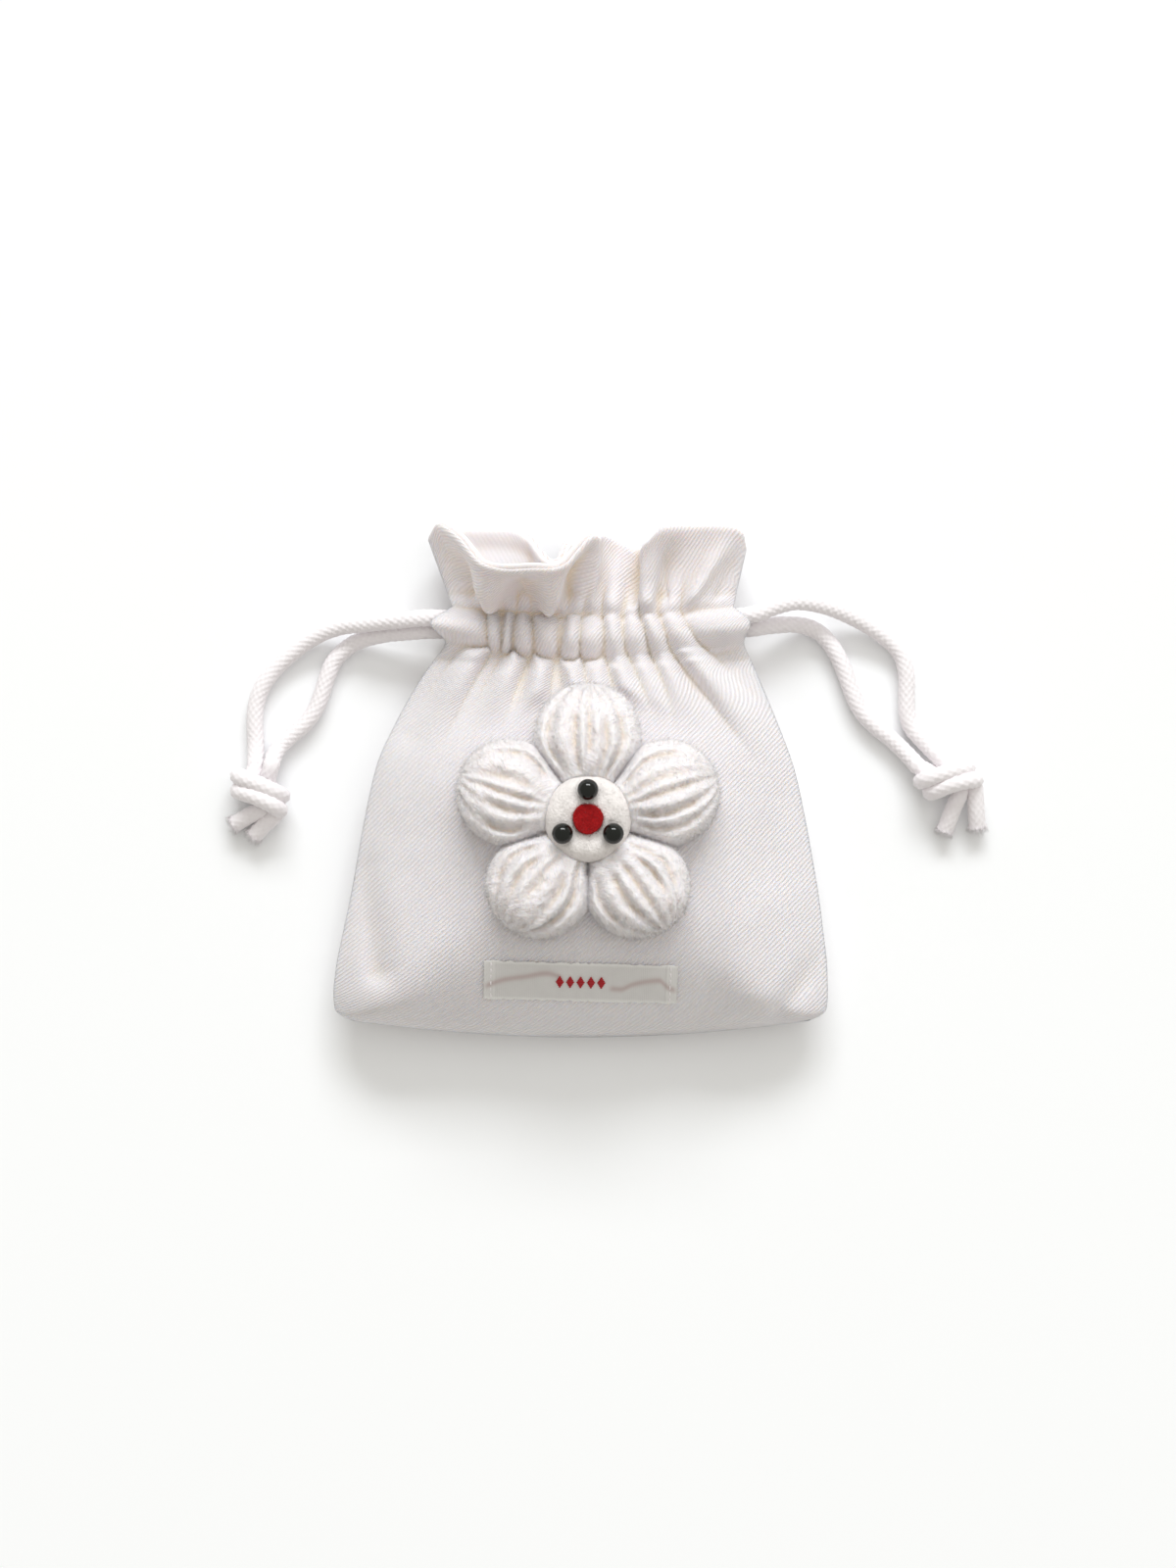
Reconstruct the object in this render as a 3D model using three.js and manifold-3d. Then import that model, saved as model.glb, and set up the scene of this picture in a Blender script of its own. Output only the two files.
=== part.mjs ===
// Drawstring pouch of cotton twill with a gathered neck, a ruffled frill, two knotted cords,
// a ribbon label and a stuffed fleece flower. It lies on its back: +X to the right,
// +Y towards the mouth, +Z up out of the front. All sizes are in millimetres.
import * as THREE from "three";
import { mergeVertices } from "three/addons/utils/BufferGeometryUtils.js";
import Module from "manifold-3d";

const wasm = await Module();
wasm.setup();

// Cloth, cords and small hardware
const CLOTH = 1.4;
const GAP = 0.3;
const CORD_DIAMETER = 5.2;
const CORD_SIDES = 8;
const CORD_STEP = 9;
const BEAD_DIAMETER = 6.2;
const LABEL = { width: 58, height: 11.8, thick: 0.7, x: 0, y: -59.6, tilt: -1.6 };

// Flower: its middle on the front, its reach, and the stuffed height of its petals
const FLOWER = { x: 2.2, y: -10.5, reach: 40.2, petals: 5, hub: 13.9, height: 15.5 };
const PETAL_HALF = { root: 8.1, widest: 15.8 };
const PETAL_EDGE = 0.42;
const PETAL_WIDEST = 0.45;
const PETAL_OPENS = 1.4;
const PETAL_TIP = { outline: 2.2, fullness: 2.4 };
const PETAL_ROOT_FULLNESS = 0.62;
const PETAL_ROUNDING = { above: 0.55, below: 0.8 };
const PETAL_RIDGES = 5;
const PLEAT_DEPTH = 1.1;
const CENTRE = { radius: 12.7, height: 13 };
const RED_DOT = { radius: 4.5, thick: 1.4 };
const BEAD_RING = 8.6;
const BEAD_SINK = 1.2;

// Sections of the body from the bottom seam up to the frill's stitch line. y at the middle and at
// the ends, half the width, shift of the middle in x, height of the side seam, half the opening
// left in the seam, and the heights of the front's crown, away from the bottom, and of the back's middle.
const SECTIONS = [
  { midY: -77.2, endY: -72.2, half: 69.0, shift: 0.0, seam: 11.0, slot: 0.2, front: 40.2, back: 10.8 },
  { midY: -75.8, endY: -70.7, half: 72.6, shift: 0.0, seam: 11.0, slot: 0.2, front: 40.2, back: 5.0 },
  { midY: -72.5, endY: -68.6, half: 74.6, shift: 0.0, seam: 11.0, slot: 0.2, front: 40.2, back: 1.6 },
  { midY: -66.0, endY: -64.0, half: 75.0, shift: 0.0, seam: 11.5, slot: 0.2, front: 40.2, back: 0.0 },
  { midY: -57.0, endY: -56.0, half: 74.5, shift: 0.3, seam: 12.0, slot: 0.2, front: 40.2, back: 0.0 },
  { midY: -45.0, endY: -44.5, half: 72.7, shift: 0.8, seam: 12.5, slot: 0.2, front: 40.2, back: 0.0 },
  { midY: -30.0, endY: -30.0, half: 70.2, shift: 1.3, seam: 13.0, slot: 0.2, front: 40.0, back: 0.0 },
  { midY: -12.0, endY: -12.0, half: 67.0, shift: 1.3, seam: 13.0, slot: 0.2, front: 40.0, back: 0.0 },
  { midY: 5.0, endY: 5.0, half: 63.2, shift: 1.3, seam: 13.0, slot: 0.2, front: 38.2, back: 0.0 },
  { midY: 18.0, endY: 18.0, half: 58.0, shift: 1.8, seam: 12.5, slot: 0.2, front: 34.6, back: 0.0 },
  { midY: 28.0, endY: 29.5, half: 52.4, shift: 2.6, seam: 12.0, slot: 0.2, front: 30.0, back: 0.0 },
  { midY: 33.5, endY: 37.5, half: 48.0, shift: 3.6, seam: 12.0, slot: 0.2, front: 26.0, back: 0.4 },
  { midY: 36.8, endY: 42.6, half: 45.2, shift: 4.2, seam: 12.0, slot: 4.9, front: 23.0, back: 1.6 },
  { midY: 43.8, endY: 48.0, half: 48.3, shift: 3.0, seam: 12.0, slot: 6.4, front: 25.4, back: 0.6 },
  { midY: 50.8, endY: 53.4, half: 42.6, shift: 3.7, seam: 12.0, slot: 4.9, front: 22.6, back: 1.6 },
];
const LOWER_STITCH = 12;
const UPPER_STITCH = 14;
const SEAM_SLOT = 0.2;
const SLOT_CLOSES = 0.2;
const FRONT_DOME = { power: 2.2, lift: 0.82 };
// The stuffed front's plane up from the bottom seam: its slope, how much steeper it gets at the sides
// and over which places across, a roll at the seam, and how round its crest is.
const BOTTOM = { slope: 0.76, steeper: 1.3, from: 0.5, to: 0.85, roll: 4, run: 2.4, crest: 4 };
const BACK_FLAT = { share: 0.72, power: 2.2 };

// Gathered folds of the front at the casing: place across the neck from -1 to 1, height, width,
// how far each runs down the body, and how far it drifts sideways on the way.
const GATHERS = [
  { at: -0.78, height: 4.6, width: 3.2, reach: 22, drift: -14 },
  { at: -0.50, height: 4.2, width: 2.7, reach: 16, drift: -7.6 },
  { at: -0.34, height: 4.2, width: 2.6, reach: 16, drift: -3 },
  { at: -0.16, height: 4.2, width: 2.6, reach: 16, drift: 3 },
  { at: 0.00, height: 3.4, width: 2.5, reach: 14, drift: 1.7 },
  { at: 0.16, height: 4.2, width: 2.7, reach: 16, drift: 6.3 },
  { at: 0.31, height: 3.4, width: 2.4, reach: 14, drift: 6 },
  { at: 0.46, height: 3.6, width: 2.5, reach: 14, drift: 6 },
  { at: 0.63, height: 4.8, width: 3.2, reach: 23, drift: 21 },
];

// Long creases and dents of the front: the line from one end to the other, the width to each
// side, and the height of the ridge, below zero for a dent.
const CREASES = [
  { fromX: -40, fromY: 38, toX: -52, toY: 16, width: 5.0, height: -2.0 },
  { fromX: 42, fromY: 40, toX: 60, toY: 20, width: 4.5, height: -2.2 },
  { fromX: -66.5, fromY: -26, toX: -61.2, toY: -56, width: 4.6, height: -3.4 },
  { fromX: 73, fromY: -52, toX: 61, toY: -68, width: 4.0, height: -3.0 },
  { fromX: 60, fromY: -6, toX: 57, toY: -26, width: 8.0, height: -1.4 },
];

// The frill above the casing, a row for each fold of its rim: place across the neck, then how far
// the rim stands from the stitch line sideways, up the bag and out of the front.
const FRONT_FRILL = [
  { at: -1.00, drift: -7.3, rise: 20.0, lift: 0.0 },
  { at: -0.94, drift: -7.2, rise: 23.5, lift: 5.0 },
  { at: -0.88, drift: -4.5, rise: 20.0, lift: 11.5 },
  { at: -0.73, drift: -1.5, rise: 11.8, lift: 21.0 },
  { at: -0.56, drift: 0.0, rise: 9.5, lift: 22.5 },
  { at: -0.40, drift: 2.0, rise: 10.5, lift: 22.0 },
  { at: -0.26, drift: 3.5, rise: 12.5, lift: 20.0 },
  { at: -0.14, drift: 5.5, rise: 21.0, lift: 12.0 },
  { at: -0.03, drift: 3.0, rise: 23.0, lift: 1.0 },
  { at: 0.11, drift: 2.5, rise: 22.0, lift: -4.0 },
  { at: 0.25, drift: 2.5, rise: 18.5, lift: -4.0 },
  { at: 0.34, drift: 0.5, rise: 19.5, lift: 4.0 },
  { at: 0.46, drift: 1.5, rise: 23.5, lift: 9.0 },
  { at: 0.66, drift: 3.0, rise: 24.0, lift: 5.0 },
  { at: 0.84, drift: 4.5, rise: 23.5, lift: 5.0 },
  { at: 0.93, drift: 5.5, rise: 21.5, lift: 3.0 },
  { at: 1.00, drift: 4.0, rise: 17.3, lift: 0.0 },
];
const BACK_FRILL = [
  { at: -1.00, drift: -7.3, rise: 20.0, lift: 0.0 },
  { at: -0.85, drift: -3.0, rise: 24.2, lift: 1.0 },
  { at: -0.60, drift: 0.0, rise: 25.2, lift: 0.5 },
  { at: -0.45, drift: 1.0, rise: 23.0, lift: 3.0 },
  { at: -0.33, drift: 2.0, rise: 16.0, lift: 11.0 },
  { at: -0.22, drift: 0.5, rise: 21.5, lift: 5.0 },
  { at: 0.00, drift: 0.0, rise: 22.5, lift: 0.5 },
  { at: 0.30, drift: 1.0, rise: 20.0, lift: 4.0 },
  { at: 0.70, drift: 3.0, rise: 23.0, lift: 0.5 },
  { at: 0.90, drift: 4.5, rise: 20.5, lift: 0.2 },
  { at: 1.00, drift: 4.0, rise: 17.3, lift: 0.0 },
];

// Pleats of the front frill: place across at its stitches and at its rim, height and width
const FRILL_PLEATS = [
  { atStitch: -0.90, atRim: -0.93, height: -4.4, width: 0.060 },
  { atStitch: -0.70, atRim: -0.74, height: 4.6, width: 0.075 },
  { atStitch: -0.495, atRim: -0.50, height: -4.6, width: 0.070 },
  { atStitch: -0.33, atRim: -0.31, height: 4.2, width: 0.065 },
  { atStitch: -0.15, atRim: -0.20, height: -3.8, width: 0.060 },
  { atStitch: 0.27, atRim: 0.29, height: -3.0, width: 0.040 },
  { atStitch: 0.37, atRim: 0.37, height: 3.0, width: 0.050 },
  { atStitch: 0.51, atRim: 0.53, height: -4.4, width: 0.075 },
  { atStitch: 0.66, atRim: 0.88, height: 3.0, width: 0.055 },
];
const PLEATS_START = 0.2;
const PLEATS_EASE = { from: 0.5, share: 0.85 };
const PLEATS_WIDEN = { from: 0.6, by: 0.8 };

// Rows of each panel's grid: places between the sections, then shares of the frill's height
const FRONT_ROWS = [0, 1, 2, 3, 4, 5, 6, 7, 8, 9, 9.5, 10, 10.5, 11, 11.5, 12, 12.5, 13, 13.5, 14];
const BACK_ROWS = [0, 1, 2, 3, 5, 7, 9, 10, 11, 12, 13, 14];
const FRILL_ROWS = [0.2, 0.45, 0.7, 1];
const FRONT_COLUMNS = 48;
const BACK_COLUMNS = 32;
const SEAM_CROWDING = 0.35;

// The free strands' routes from inside the casing to the knots, laid on the surface
const STRANDS = {
  cord_left_front: [
    [-39, 49.8, 14.2], [-45.3, 50, 14.2], [-52.5, 49.6, 13.2], [-59.5, 48.9, 11.4], [-66.5, 48.3, 9],
    [-73.8, 47.4, 6.6], [-81.4, 44.5, 4.4], [-87.6, 40.1, 3.2], [-93.2, 35, 2.8], [-97.3, 29.4, 2.8],
    [-99.2, 23.8, 2.8], [-99.6, 18.1, 2.8], [-99.4, 13, 2.9], [-99.2, 8.9, 3.6], [-99.2, 5.4, 4.8],
  ],
  cord_left_back: [
    [-39, 46.3, 9.9], [-45.3, 46.4, 9.9], [-52.5, 46, 8.6], [-59.5, 45.3, 6.6], [-66.1, 43.9, 4.6],
    [-70.9, 41.6, 3.2], [-75.1, 37.6, 2.8], [-77.3, 33, 2.8], [-78.9, 27.9, 2.8], [-80.9, 22.7, 2.8],
    [-84, 18.4, 2.8], [-88.4, 14.5, 2.8], [-91.6, 11.4, 3.4], [-93.4, 8.4, 5.4], [-94.2, 5, 7.4],
  ],
  cord_right_front: [
    [45, 50.2, 14.2], [51.2, 50.8, 14.2], [55.4, 52, 13.8], [60.2, 53.9, 12.9], [66, 55, 11.4],
    [72.9, 54.1, 9.4], [80.3, 51.7, 6.8], [87.2, 48.3, 4.6], [93.6, 44, 3.2], [97.8, 39.3, 2.8],
    [99.5, 33.4, 2.8], [99.6, 27.1, 2.8], [99.8, 21.2, 2.8], [101.4, 16.5, 3], [105.2, 12.2, 3.8],
    [108.6, 8.6, 5.2],
  ],
  cord_right_back: [
    [45, 46.6, 9.9], [51.2, 46.9, 9.9], [56, 47.6, 8.6], [61, 48.2, 6.8], [65.6, 48.3, 5],
    [70, 47.4, 3.6], [74.5, 44.6, 2.8], [78.2, 39.5, 2.8], [80.9, 33.4, 2.8], [83, 27.6, 2.8],
    [85.7, 22, 2.8], [89.9, 17.5, 2.8], [94.9, 13.4, 2.9], [98.9, 9.6, 3.4], [103.2, 4.9, 5.2],
  ],
};

// The knots: middle, the strands that run in, and the two cut tails' ends
const KNOTS = {
  knot_left: {
    middle: [-97.6, -2.6, 6.6],
    turn: 0,
    strands: ["cord_left_front", "cord_left_back"],
    tails: [[-106.2, -12.6, 3], [-100, -16.2, 3]],
  },
  knot_right: {
    middle: [112, 1.3, 6.6],
    turn: 40,
    strands: ["cord_right_front", "cord_right_back"],
    tails: [[111.2, -14.6, 3], [121.2, -13.6, 3]],
  },
};
const KNOT_CORE = { length: 6.2, width: 7.4, height: 5.8 };
const KNOT_WRAP = { ring: 4.2, tube: 2.3, tilts: [28, -34], across: 2.2 };

const COLOURS = {
  twill: { color: 0xece9e6, roughness: 0.9, metalness: 0 },
  cord: { color: 0xe6e3de, roughness: 0.85, metalness: 0 },
  fleece: { color: 0xf1ede6, roughness: 0.95, metalness: 0 },
  felt: { color: 0xefe9e0, roughness: 0.95, metalness: 0 },
  red_felt: { color: 0x8c0a0c, roughness: 0.95, metalness: 0 },
  ribbon: { color: 0xd6d2cc, roughness: 0.55, metalness: 0 },
  bead: { color: 0x141614, roughness: 0.15, metalness: 0 },
};

// A smooth curve through the values of one column, with no overshoot between them
function smoothColumn(places, values, place) {
  const last = places.length - 1;
  const at = Math.min(Math.max(place, places[0]), places[last]);
  let i = 0;
  while (i < last - 1 && at > places[i + 1]) i += 1;
  const slope = (k) => (values[k + 1] - values[k]) / (places[k + 1] - places[k]);
  const tangent = (k) => {
    if (k === 0 || k === last) return slope(Math.min(k, last - 1));
    const before = slope(k - 1);
    const after = slope(k);
    return before * after > 0 ? (2 * before * after) / (before + after) : 0;
  };
  const span = places[i + 1] - places[i];
  const u = (at - places[i]) / span;
  const rise = values[i + 1] - values[i];
  const ease = u * u * (3 - 2 * u);
  const lead = u * (1 - u) * (1 - u) * span * tangent(i);
  const trail = u * u * (u - 1) * span * tangent(i + 1);
  return values[i] + rise * ease + lead + trail;
}

function smoothRow(rows, places, place) {
  const row = {};
  for (const column of Object.keys(rows[0])) {
    row[column] = smoothColumn(places, rows.map((r) => r[column]), place);
  }
  return row;
}

const SECTION_PLACES = SECTIONS.map((_, index) => index);
const section = (place) => smoothRow(SECTIONS, SECTION_PLACES, place);
const sectionY = (row, t) => row.midY + (row.endY - row.midY) * t * t;
const frillFold = (rows, t) => smoothRow(rows, rows.map((r) => r.at), t);
const bell = (distance, width) => Math.exp(-((distance / width) ** 2));

// Height that the gathers add at a point of the front, below or in the casing
function gatherRelief(t, place) {
  const row = section(place);
  const stitch = section(LOWER_STITCH);
  const x = row.shift + row.half * t;
  const below = Math.max(0, sectionY(stitch, t) - sectionY(row, t));
  const neck = place < LOWER_STITCH ? stitch : row;
  let height = 0;
  for (const fold of GATHERS) {
    const along = below / fold.reach;
    const middle = neck.shift + neck.half * fold.at + fold.drift * along;
    height += fold.height * bell(x - middle, fold.width * (1 + along / 2)) * bell(along, 1);
  }
  const fromFlower = Math.hypot(x - FLOWER.x, sectionY(row, t) - FLOWER.y);
  return height * THREE.MathUtils.smoothstep(fromFlower, FLOWER.reach - 6, FLOWER.reach + 1);
}

// How far the front frill's pleats stand out of it
function pleatRelief(t, share) {
  let height = 0;
  for (const pleat of FRILL_PLEATS) {
    const middle = pleat.atStitch + (pleat.atRim - pleat.atStitch) * share;
    height += pleat.height * bell(t - middle, pleat.width * (PLEATS_WIDEN.from + PLEATS_WIDEN.by * share));
  }
  const easing = PLEATS_EASE.share * THREE.MathUtils.smoothstep(share, PLEATS_EASE.from, 1);
  return height * THREE.MathUtils.smoothstep(share, 0, PLEATS_START) * (1 - easing) * seamFade(t);
}

// How high the stuffed front can stand at a distance from the bottom seam
function bottomRise(distance, t) {
  const away = Math.max(0, distance);
  const aside = THREE.MathUtils.smoothstep(Math.abs(t), BOTTOM.from, BOTTOM.to);
  const slope = BOTTOM.slope * (1 + BOTTOM.steeper * aside);
  return slope * away + BOTTOM.roll * (1 - Math.exp(-away / BOTTOM.run));
}

// The lesser of two heights, with a rounded crest where they meet
function softLeast(first, second) {
  if (first <= 0 || second <= 0) return 0;
  return (first ** -BOTTOM.crest + second ** -BOTTOM.crest) ** (-1 / BOTTOM.crest);
}

function creaseRelief(x, y) {
  let height = 0;
  for (const line of CREASES) {
    const run = new THREE.Vector2(line.toX - line.fromX, line.toY - line.fromY);
    const offset = new THREE.Vector2(x - line.fromX, y - line.fromY);
    const share = THREE.MathUtils.clamp(offset.dot(run) / run.lengthSq(), 0, 1);
    const distance = offset.sub(run.multiplyScalar(share)).length();
    height += line.height * bell(distance, line.width);
  }
  return height;
}

const seamFade = (t) => 1 - Math.abs(t) ** 8;
const frontDome = (t) => Math.max(0, 1 - Math.abs(t) ** FRONT_DOME.power) ** FRONT_DOME.lift;

function backFlat(t) {
  const past = Math.max(0, Math.abs(t) - BACK_FLAT.share) / (1 - BACK_FLAT.share);
  return 1 - past ** BACK_FLAT.power;
}

// Outer point of the front or back body at a place across and a place along the sections
function bodyPoint(side, t, place) {
  const row = section(place);
  const x = row.shift + row.half * t;
  const y = sectionY(row, t);
  const edge = row.seam + side * row.slot;
  if (side < 0) return new THREE.Vector3(x, y, edge + (row.back - edge) * backFlat(t));
  const relief = (gatherRelief(t, place) * Math.min(1, place / 2) + creaseRelief(x, y)) * seamFade(t);
  const rise = bottomRise(y - sectionY(section(0), t), t);
  return new THREE.Vector3(x, y, edge + softLeast((row.front - edge) * frontDome(t), rise) + relief);
}

// Outer point of the frill, from its stitch line at share 0 to its rim at share 1
function frillPoint(side, t, share) {
  const fold = frillFold(side > 0 ? FRONT_FRILL : BACK_FRILL, t);
  const base = bodyPoint(side, t, UPPER_STITCH);
  const row = section(UPPER_STITCH);
  const gather = side > 0 ? gatherRelief(t, UPPER_STITCH) * seamFade(t) : 0;
  const closing = side * (row.slot - SEAM_SLOT) * Math.abs(t) ** 8;
  const flattening = gather * (1 - (1 - share) ** 2);
  return new THREE.Vector3(
    base.x + fold.drift * share,
    base.y + fold.rise * share,
    base.z + fold.lift * share - closing * Math.min(1, share / SLOT_CLOSES) - flattening,
  );
}

// Places across a panel, closer together near the side seams
function acrossPlaces(columns) {
  const places = [];
  for (let i = 0; i <= columns; i += 1) {
    const even = (2 * i) / columns - 1;
    places.push((1 - SEAM_CROWDING) * even + SEAM_CROWDING * Math.sin((even * Math.PI) / 2));
  }
  return places;
}

function panelGrid(side, rows, columns) {
  const across = acrossPlaces(columns);
  const body = rows.map((place) => across.map((t) => bodyPoint(side, t, place)));
  const frill = FRILL_ROWS.map((share) => across.map((t) => frillPoint(side, t, share)));
  const grid = [...body, ...frill];
  if (side < 0) return grid;
  return grid.map((row, j) => row.map((point, i) => {
    if (j < rows.length) return point;
    const relief = pleatRelief(across[i], FRILL_ROWS[j - rows.length]);
    return point.clone().addScaledVector(gridNormal(grid, j, i), relief);
  }));
}

function gridNormal(grid, j, i) {
  const rowBelow = grid[Math.max(j - 1, 0)];
  const rowAbove = grid[Math.min(j + 1, grid.length - 1)];
  const row = grid[j];
  const across = row[Math.min(i + 1, row.length - 1)].clone().sub(row[Math.max(i - 1, 0)]);
  const along = rowAbove[i].clone().sub(rowBelow[i]);
  return across.cross(along).normalize();
}

// The wall's inner points: a cloth's thickness in, and level with the seam along the sewn edges
function innerGrid(grid, side) {
  const lastColumn = grid[0].length - 1;
  return grid.map((row, j) => row.map((point, i) => {
    const outward = gridNormal(grid, j, i).multiplyScalar(side);
    const atSide = i === 0 || i === lastColumn;
    const atBottom = j === 0;
    if (atSide || atBottom) {
      const sideways = atSide ? Math.sign(i - 1) : 0;
      outward.set(sideways, atBottom ? -1 : 0, 0).normalize();
    }
    return point.clone().addScaledVector(outward, -CLOTH);
  }));
}

// A closed wall between an outer and an inner grid of points
function wallGeometry(outer, inner) {
  const rows = outer.length;
  const columns = outer[0].length;
  const points = [...outer.flat(), ...inner.flat()];
  const out = (j, i) => j * columns + i;
  const into = (j, i) => rows * columns + j * columns + i;
  const triangles = [];
  const quad = (a, b, c, d) => triangles.push(a, b, c, a, c, d);
  for (let j = 0; j < rows - 1; j += 1) {
    for (let i = 0; i < columns - 1; i += 1) {
      quad(out(j, i), out(j, i + 1), out(j + 1, i + 1), out(j + 1, i));
      quad(into(j, i), into(j + 1, i), into(j + 1, i + 1), into(j, i + 1));
    }
  }
  for (let i = 0; i < columns - 1; i += 1) {
    quad(into(0, i), into(0, i + 1), out(0, i + 1), out(0, i));
    quad(out(rows - 1, i), out(rows - 1, i + 1), into(rows - 1, i + 1), into(rows - 1, i));
  }
  for (let j = 0; j < rows - 1; j += 1) {
    quad(out(j, 0), out(j + 1, 0), into(j + 1, 0), into(j, 0));
    quad(into(j, columns - 1), into(j + 1, columns - 1), out(j + 1, columns - 1), out(j, columns - 1));
  }
  return pointGeometry(points, triangles);
}

// A geometry from points and triangles, turned so that its faces point out
function pointGeometry(points, triangles) {
  let volume = 0;
  for (let k = 0; k < triangles.length; k += 3) {
    const [a, b, c] = [points[triangles[k]], points[triangles[k + 1]], points[triangles[k + 2]]];
    volume += a.dot(b.clone().cross(c));
  }
  const index = volume < 0 ? triangles.slice().reverse() : triangles;
  const geometry = new THREE.BufferGeometry().setFromPoints(points);
  geometry.setIndex(index);
  geometry.computeVertexNormals();
  return geometry;
}

function panelGeometry(side, rows, columns) {
  const outer = panelGrid(side, rows, columns);
  return wallGeometry(outer, innerGrid(outer, side));
}

// Height of the front's outside above a point of the floor plan
function frontHeight(x, y) {
  let low = 0;
  let high = UPPER_STITCH;
  const acrossAt = (place) => {
    const row = section(place);
    return THREE.MathUtils.clamp((x - row.shift) / row.half, -1, 1);
  };
  for (let step = 0; step < 30; step += 1) {
    const middle = (low + high) / 2;
    if (sectionY(section(middle), acrossAt(middle)) < y) low = middle;
    else high = middle;
  }
  return bodyPoint(1, acrossAt(low), low).z;
}

// The highest point of the front close to a place, which something laid on it rests on
function restHeight(x, y, reach) {
  let height = -Infinity;
  for (const dx of [-reach, 0, reach]) {
    for (const dy of [-reach, 0, reach]) height = Math.max(height, frontHeight(x + dx, y + dy));
  }
  return height + GAP;
}

// The ribbon label, bent over the front
function labelGeometry() {
  const columns = 14;
  const rows = 4;
  const turn = THREE.MathUtils.degToRad(LABEL.tilt);
  const grid = (lift) => {
    const points = [];
    for (let j = 0; j <= rows; j += 1) {
      points.push([]);
      for (let i = 0; i <= columns; i += 1) {
        const along = (i / columns - 0.5) * LABEL.width;
        const up = (j / rows - 0.5) * LABEL.height;
        const x = LABEL.x + along * Math.cos(turn) - up * Math.sin(turn);
        const y = LABEL.y + along * Math.sin(turn) + up * Math.cos(turn);
        points[j].push(new THREE.Vector3(x, y, frontHeight(x, y) + GAP + lift));
      }
    }
    return points;
  };
  return wallGeometry(grid(LABEL.thick), grid(0));
}

// Half the width of a petal at a share of its length
function petalHalfWidth(share) {
  if (share < PETAL_WIDEST) {
    const opening = Math.sin((share / PETAL_WIDEST) * (Math.PI / 2)) ** PETAL_OPENS;
    return PETAL_HALF.root + (PETAL_HALF.widest - PETAL_HALF.root) * opening;
  }
  const past = (share - PETAL_WIDEST) / (1 - PETAL_WIDEST);
  return PETAL_HALF.widest * Math.sqrt(Math.max(0, 1 - past ** PETAL_TIP.outline));
}

function petalFullness(share) {
  if (share < PETAL_WIDEST) {
    const opening = Math.sin((share / PETAL_WIDEST) * (Math.PI / 2));
    return PETAL_ROOT_FULLNESS + (1 - PETAL_ROOT_FULLNESS) * opening;
  }
  const past = (share - PETAL_WIDEST) / (1 - PETAL_WIDEST);
  return Math.sqrt(Math.max(0, 1 - past ** PETAL_TIP.fullness));
}

// One ring of a petal: pleated over the top, plain underneath, and hollowed round the middle at its root
function petalRing(angle, share) {
  const topSteps = 2 * PETAL_RIDGES;
  const underSteps = 6;
  const half = petalHalfWidth(share);
  const full = petalFullness(share);
  const ring = [];
  const place = (c, level) => {
    const inner = Math.sqrt(FLOWER.hub ** 2 - (c * PETAL_HALF.root) ** 2);
    const along = inner + (FLOWER.reach - inner) * share;
    const x = FLOWER.x + along * Math.cos(angle) - c * half * Math.sin(angle);
    const y = FLOWER.y + along * Math.sin(angle) + c * half * Math.cos(angle);
    ring.push(new THREE.Vector3(x, y, restHeight(x, y, 2) + level));
  };
  const edge = FLOWER.height * PETAL_EDGE;
  for (let k = 0; k <= topSteps; k += 1) {
    const c = 1 - (2 * k) / topSteps;
    const crown = (1 - c * c) ** PETAL_ROUNDING.above * full;
    const atEdge = k === 0 || k === topSteps;
    const pleat = atEdge ? 0 : PLEAT_DEPTH * full * (k % 2 === 1 ? 1 : -1);
    place(c, edge + (FLOWER.height - edge) * crown + pleat);
  }
  for (let k = 1; k < underSteps; k += 1) {
    const c = -1 + (2 * k) / underSteps;
    place(c, edge * (1 - (1 - c * c) ** PETAL_ROUNDING.below * full));
  }
  return ring;
}

// A closed skin through rings of points, with a cap at each end
function ringGeometry(rings) {
  const count = rings[0].length;
  const points = rings.flat();
  const triangles = [];
  for (let j = 0; j < rings.length - 1; j += 1) {
    for (let k = 0; k < count; k += 1) {
      const next = (k + 1) % count;
      const a = j * count + k;
      const b = j * count + next;
      triangles.push(a, b, b + count, a, b + count, a + count);
    }
  }
  for (const [ring, turn] of [[0, -1], [rings.length - 1, 1]]) {
    const middle = new THREE.Vector3();
    rings[ring].forEach((point) => middle.add(point));
    points.push(middle.divideScalar(count));
    const hub = points.length - 1;
    for (let k = 0; k < count; k += 1) {
      const a = ring * count + k;
      const b = ring * count + ((k + 1) % count);
      if (turn > 0) triangles.push(a, b, hub);
      else triangles.push(b, a, hub);
    }
  }
  return pointGeometry(points, triangles);
}

function petalGeometry(index) {
  const angle = Math.PI / 2 + (index * 2 * Math.PI) / FLOWER.petals;
  const shares = [0, 0.14, 0.3, 0.46, 0.64, 0.8, 0.92, 0.985];
  return ringGeometry(shares.map((share) => petalRing(angle, share)));
}

const flowerSeat = () => restHeight(FLOWER.x, FLOWER.y, CENTRE.radius);

// Solids for joining and cutting
function toSolid(geometry) {
  const bare = geometry.clone();
  bare.deleteAttribute("normal");
  bare.deleteAttribute("uv");
  const merged = mergeVertices(bare, 1e-4);
  const vertProperties = new Float32Array(merged.attributes.position.array);
  const triVerts = new Uint32Array(merged.index.array);
  return new wasm.Manifold(new wasm.Mesh({ numProp: 3, vertProperties, triVerts }));
}

function toGeometry(solid) {
  const mesh = solid.getMesh();
  const geometry = new THREE.BufferGeometry();
  geometry.setAttribute("position", new THREE.BufferAttribute(new Float32Array(mesh.vertProperties), 3));
  geometry.setIndex(new THREE.BufferAttribute(new Uint32Array(mesh.triVerts), 1));
  geometry.computeVertexNormals();
  return geometry;
}

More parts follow.
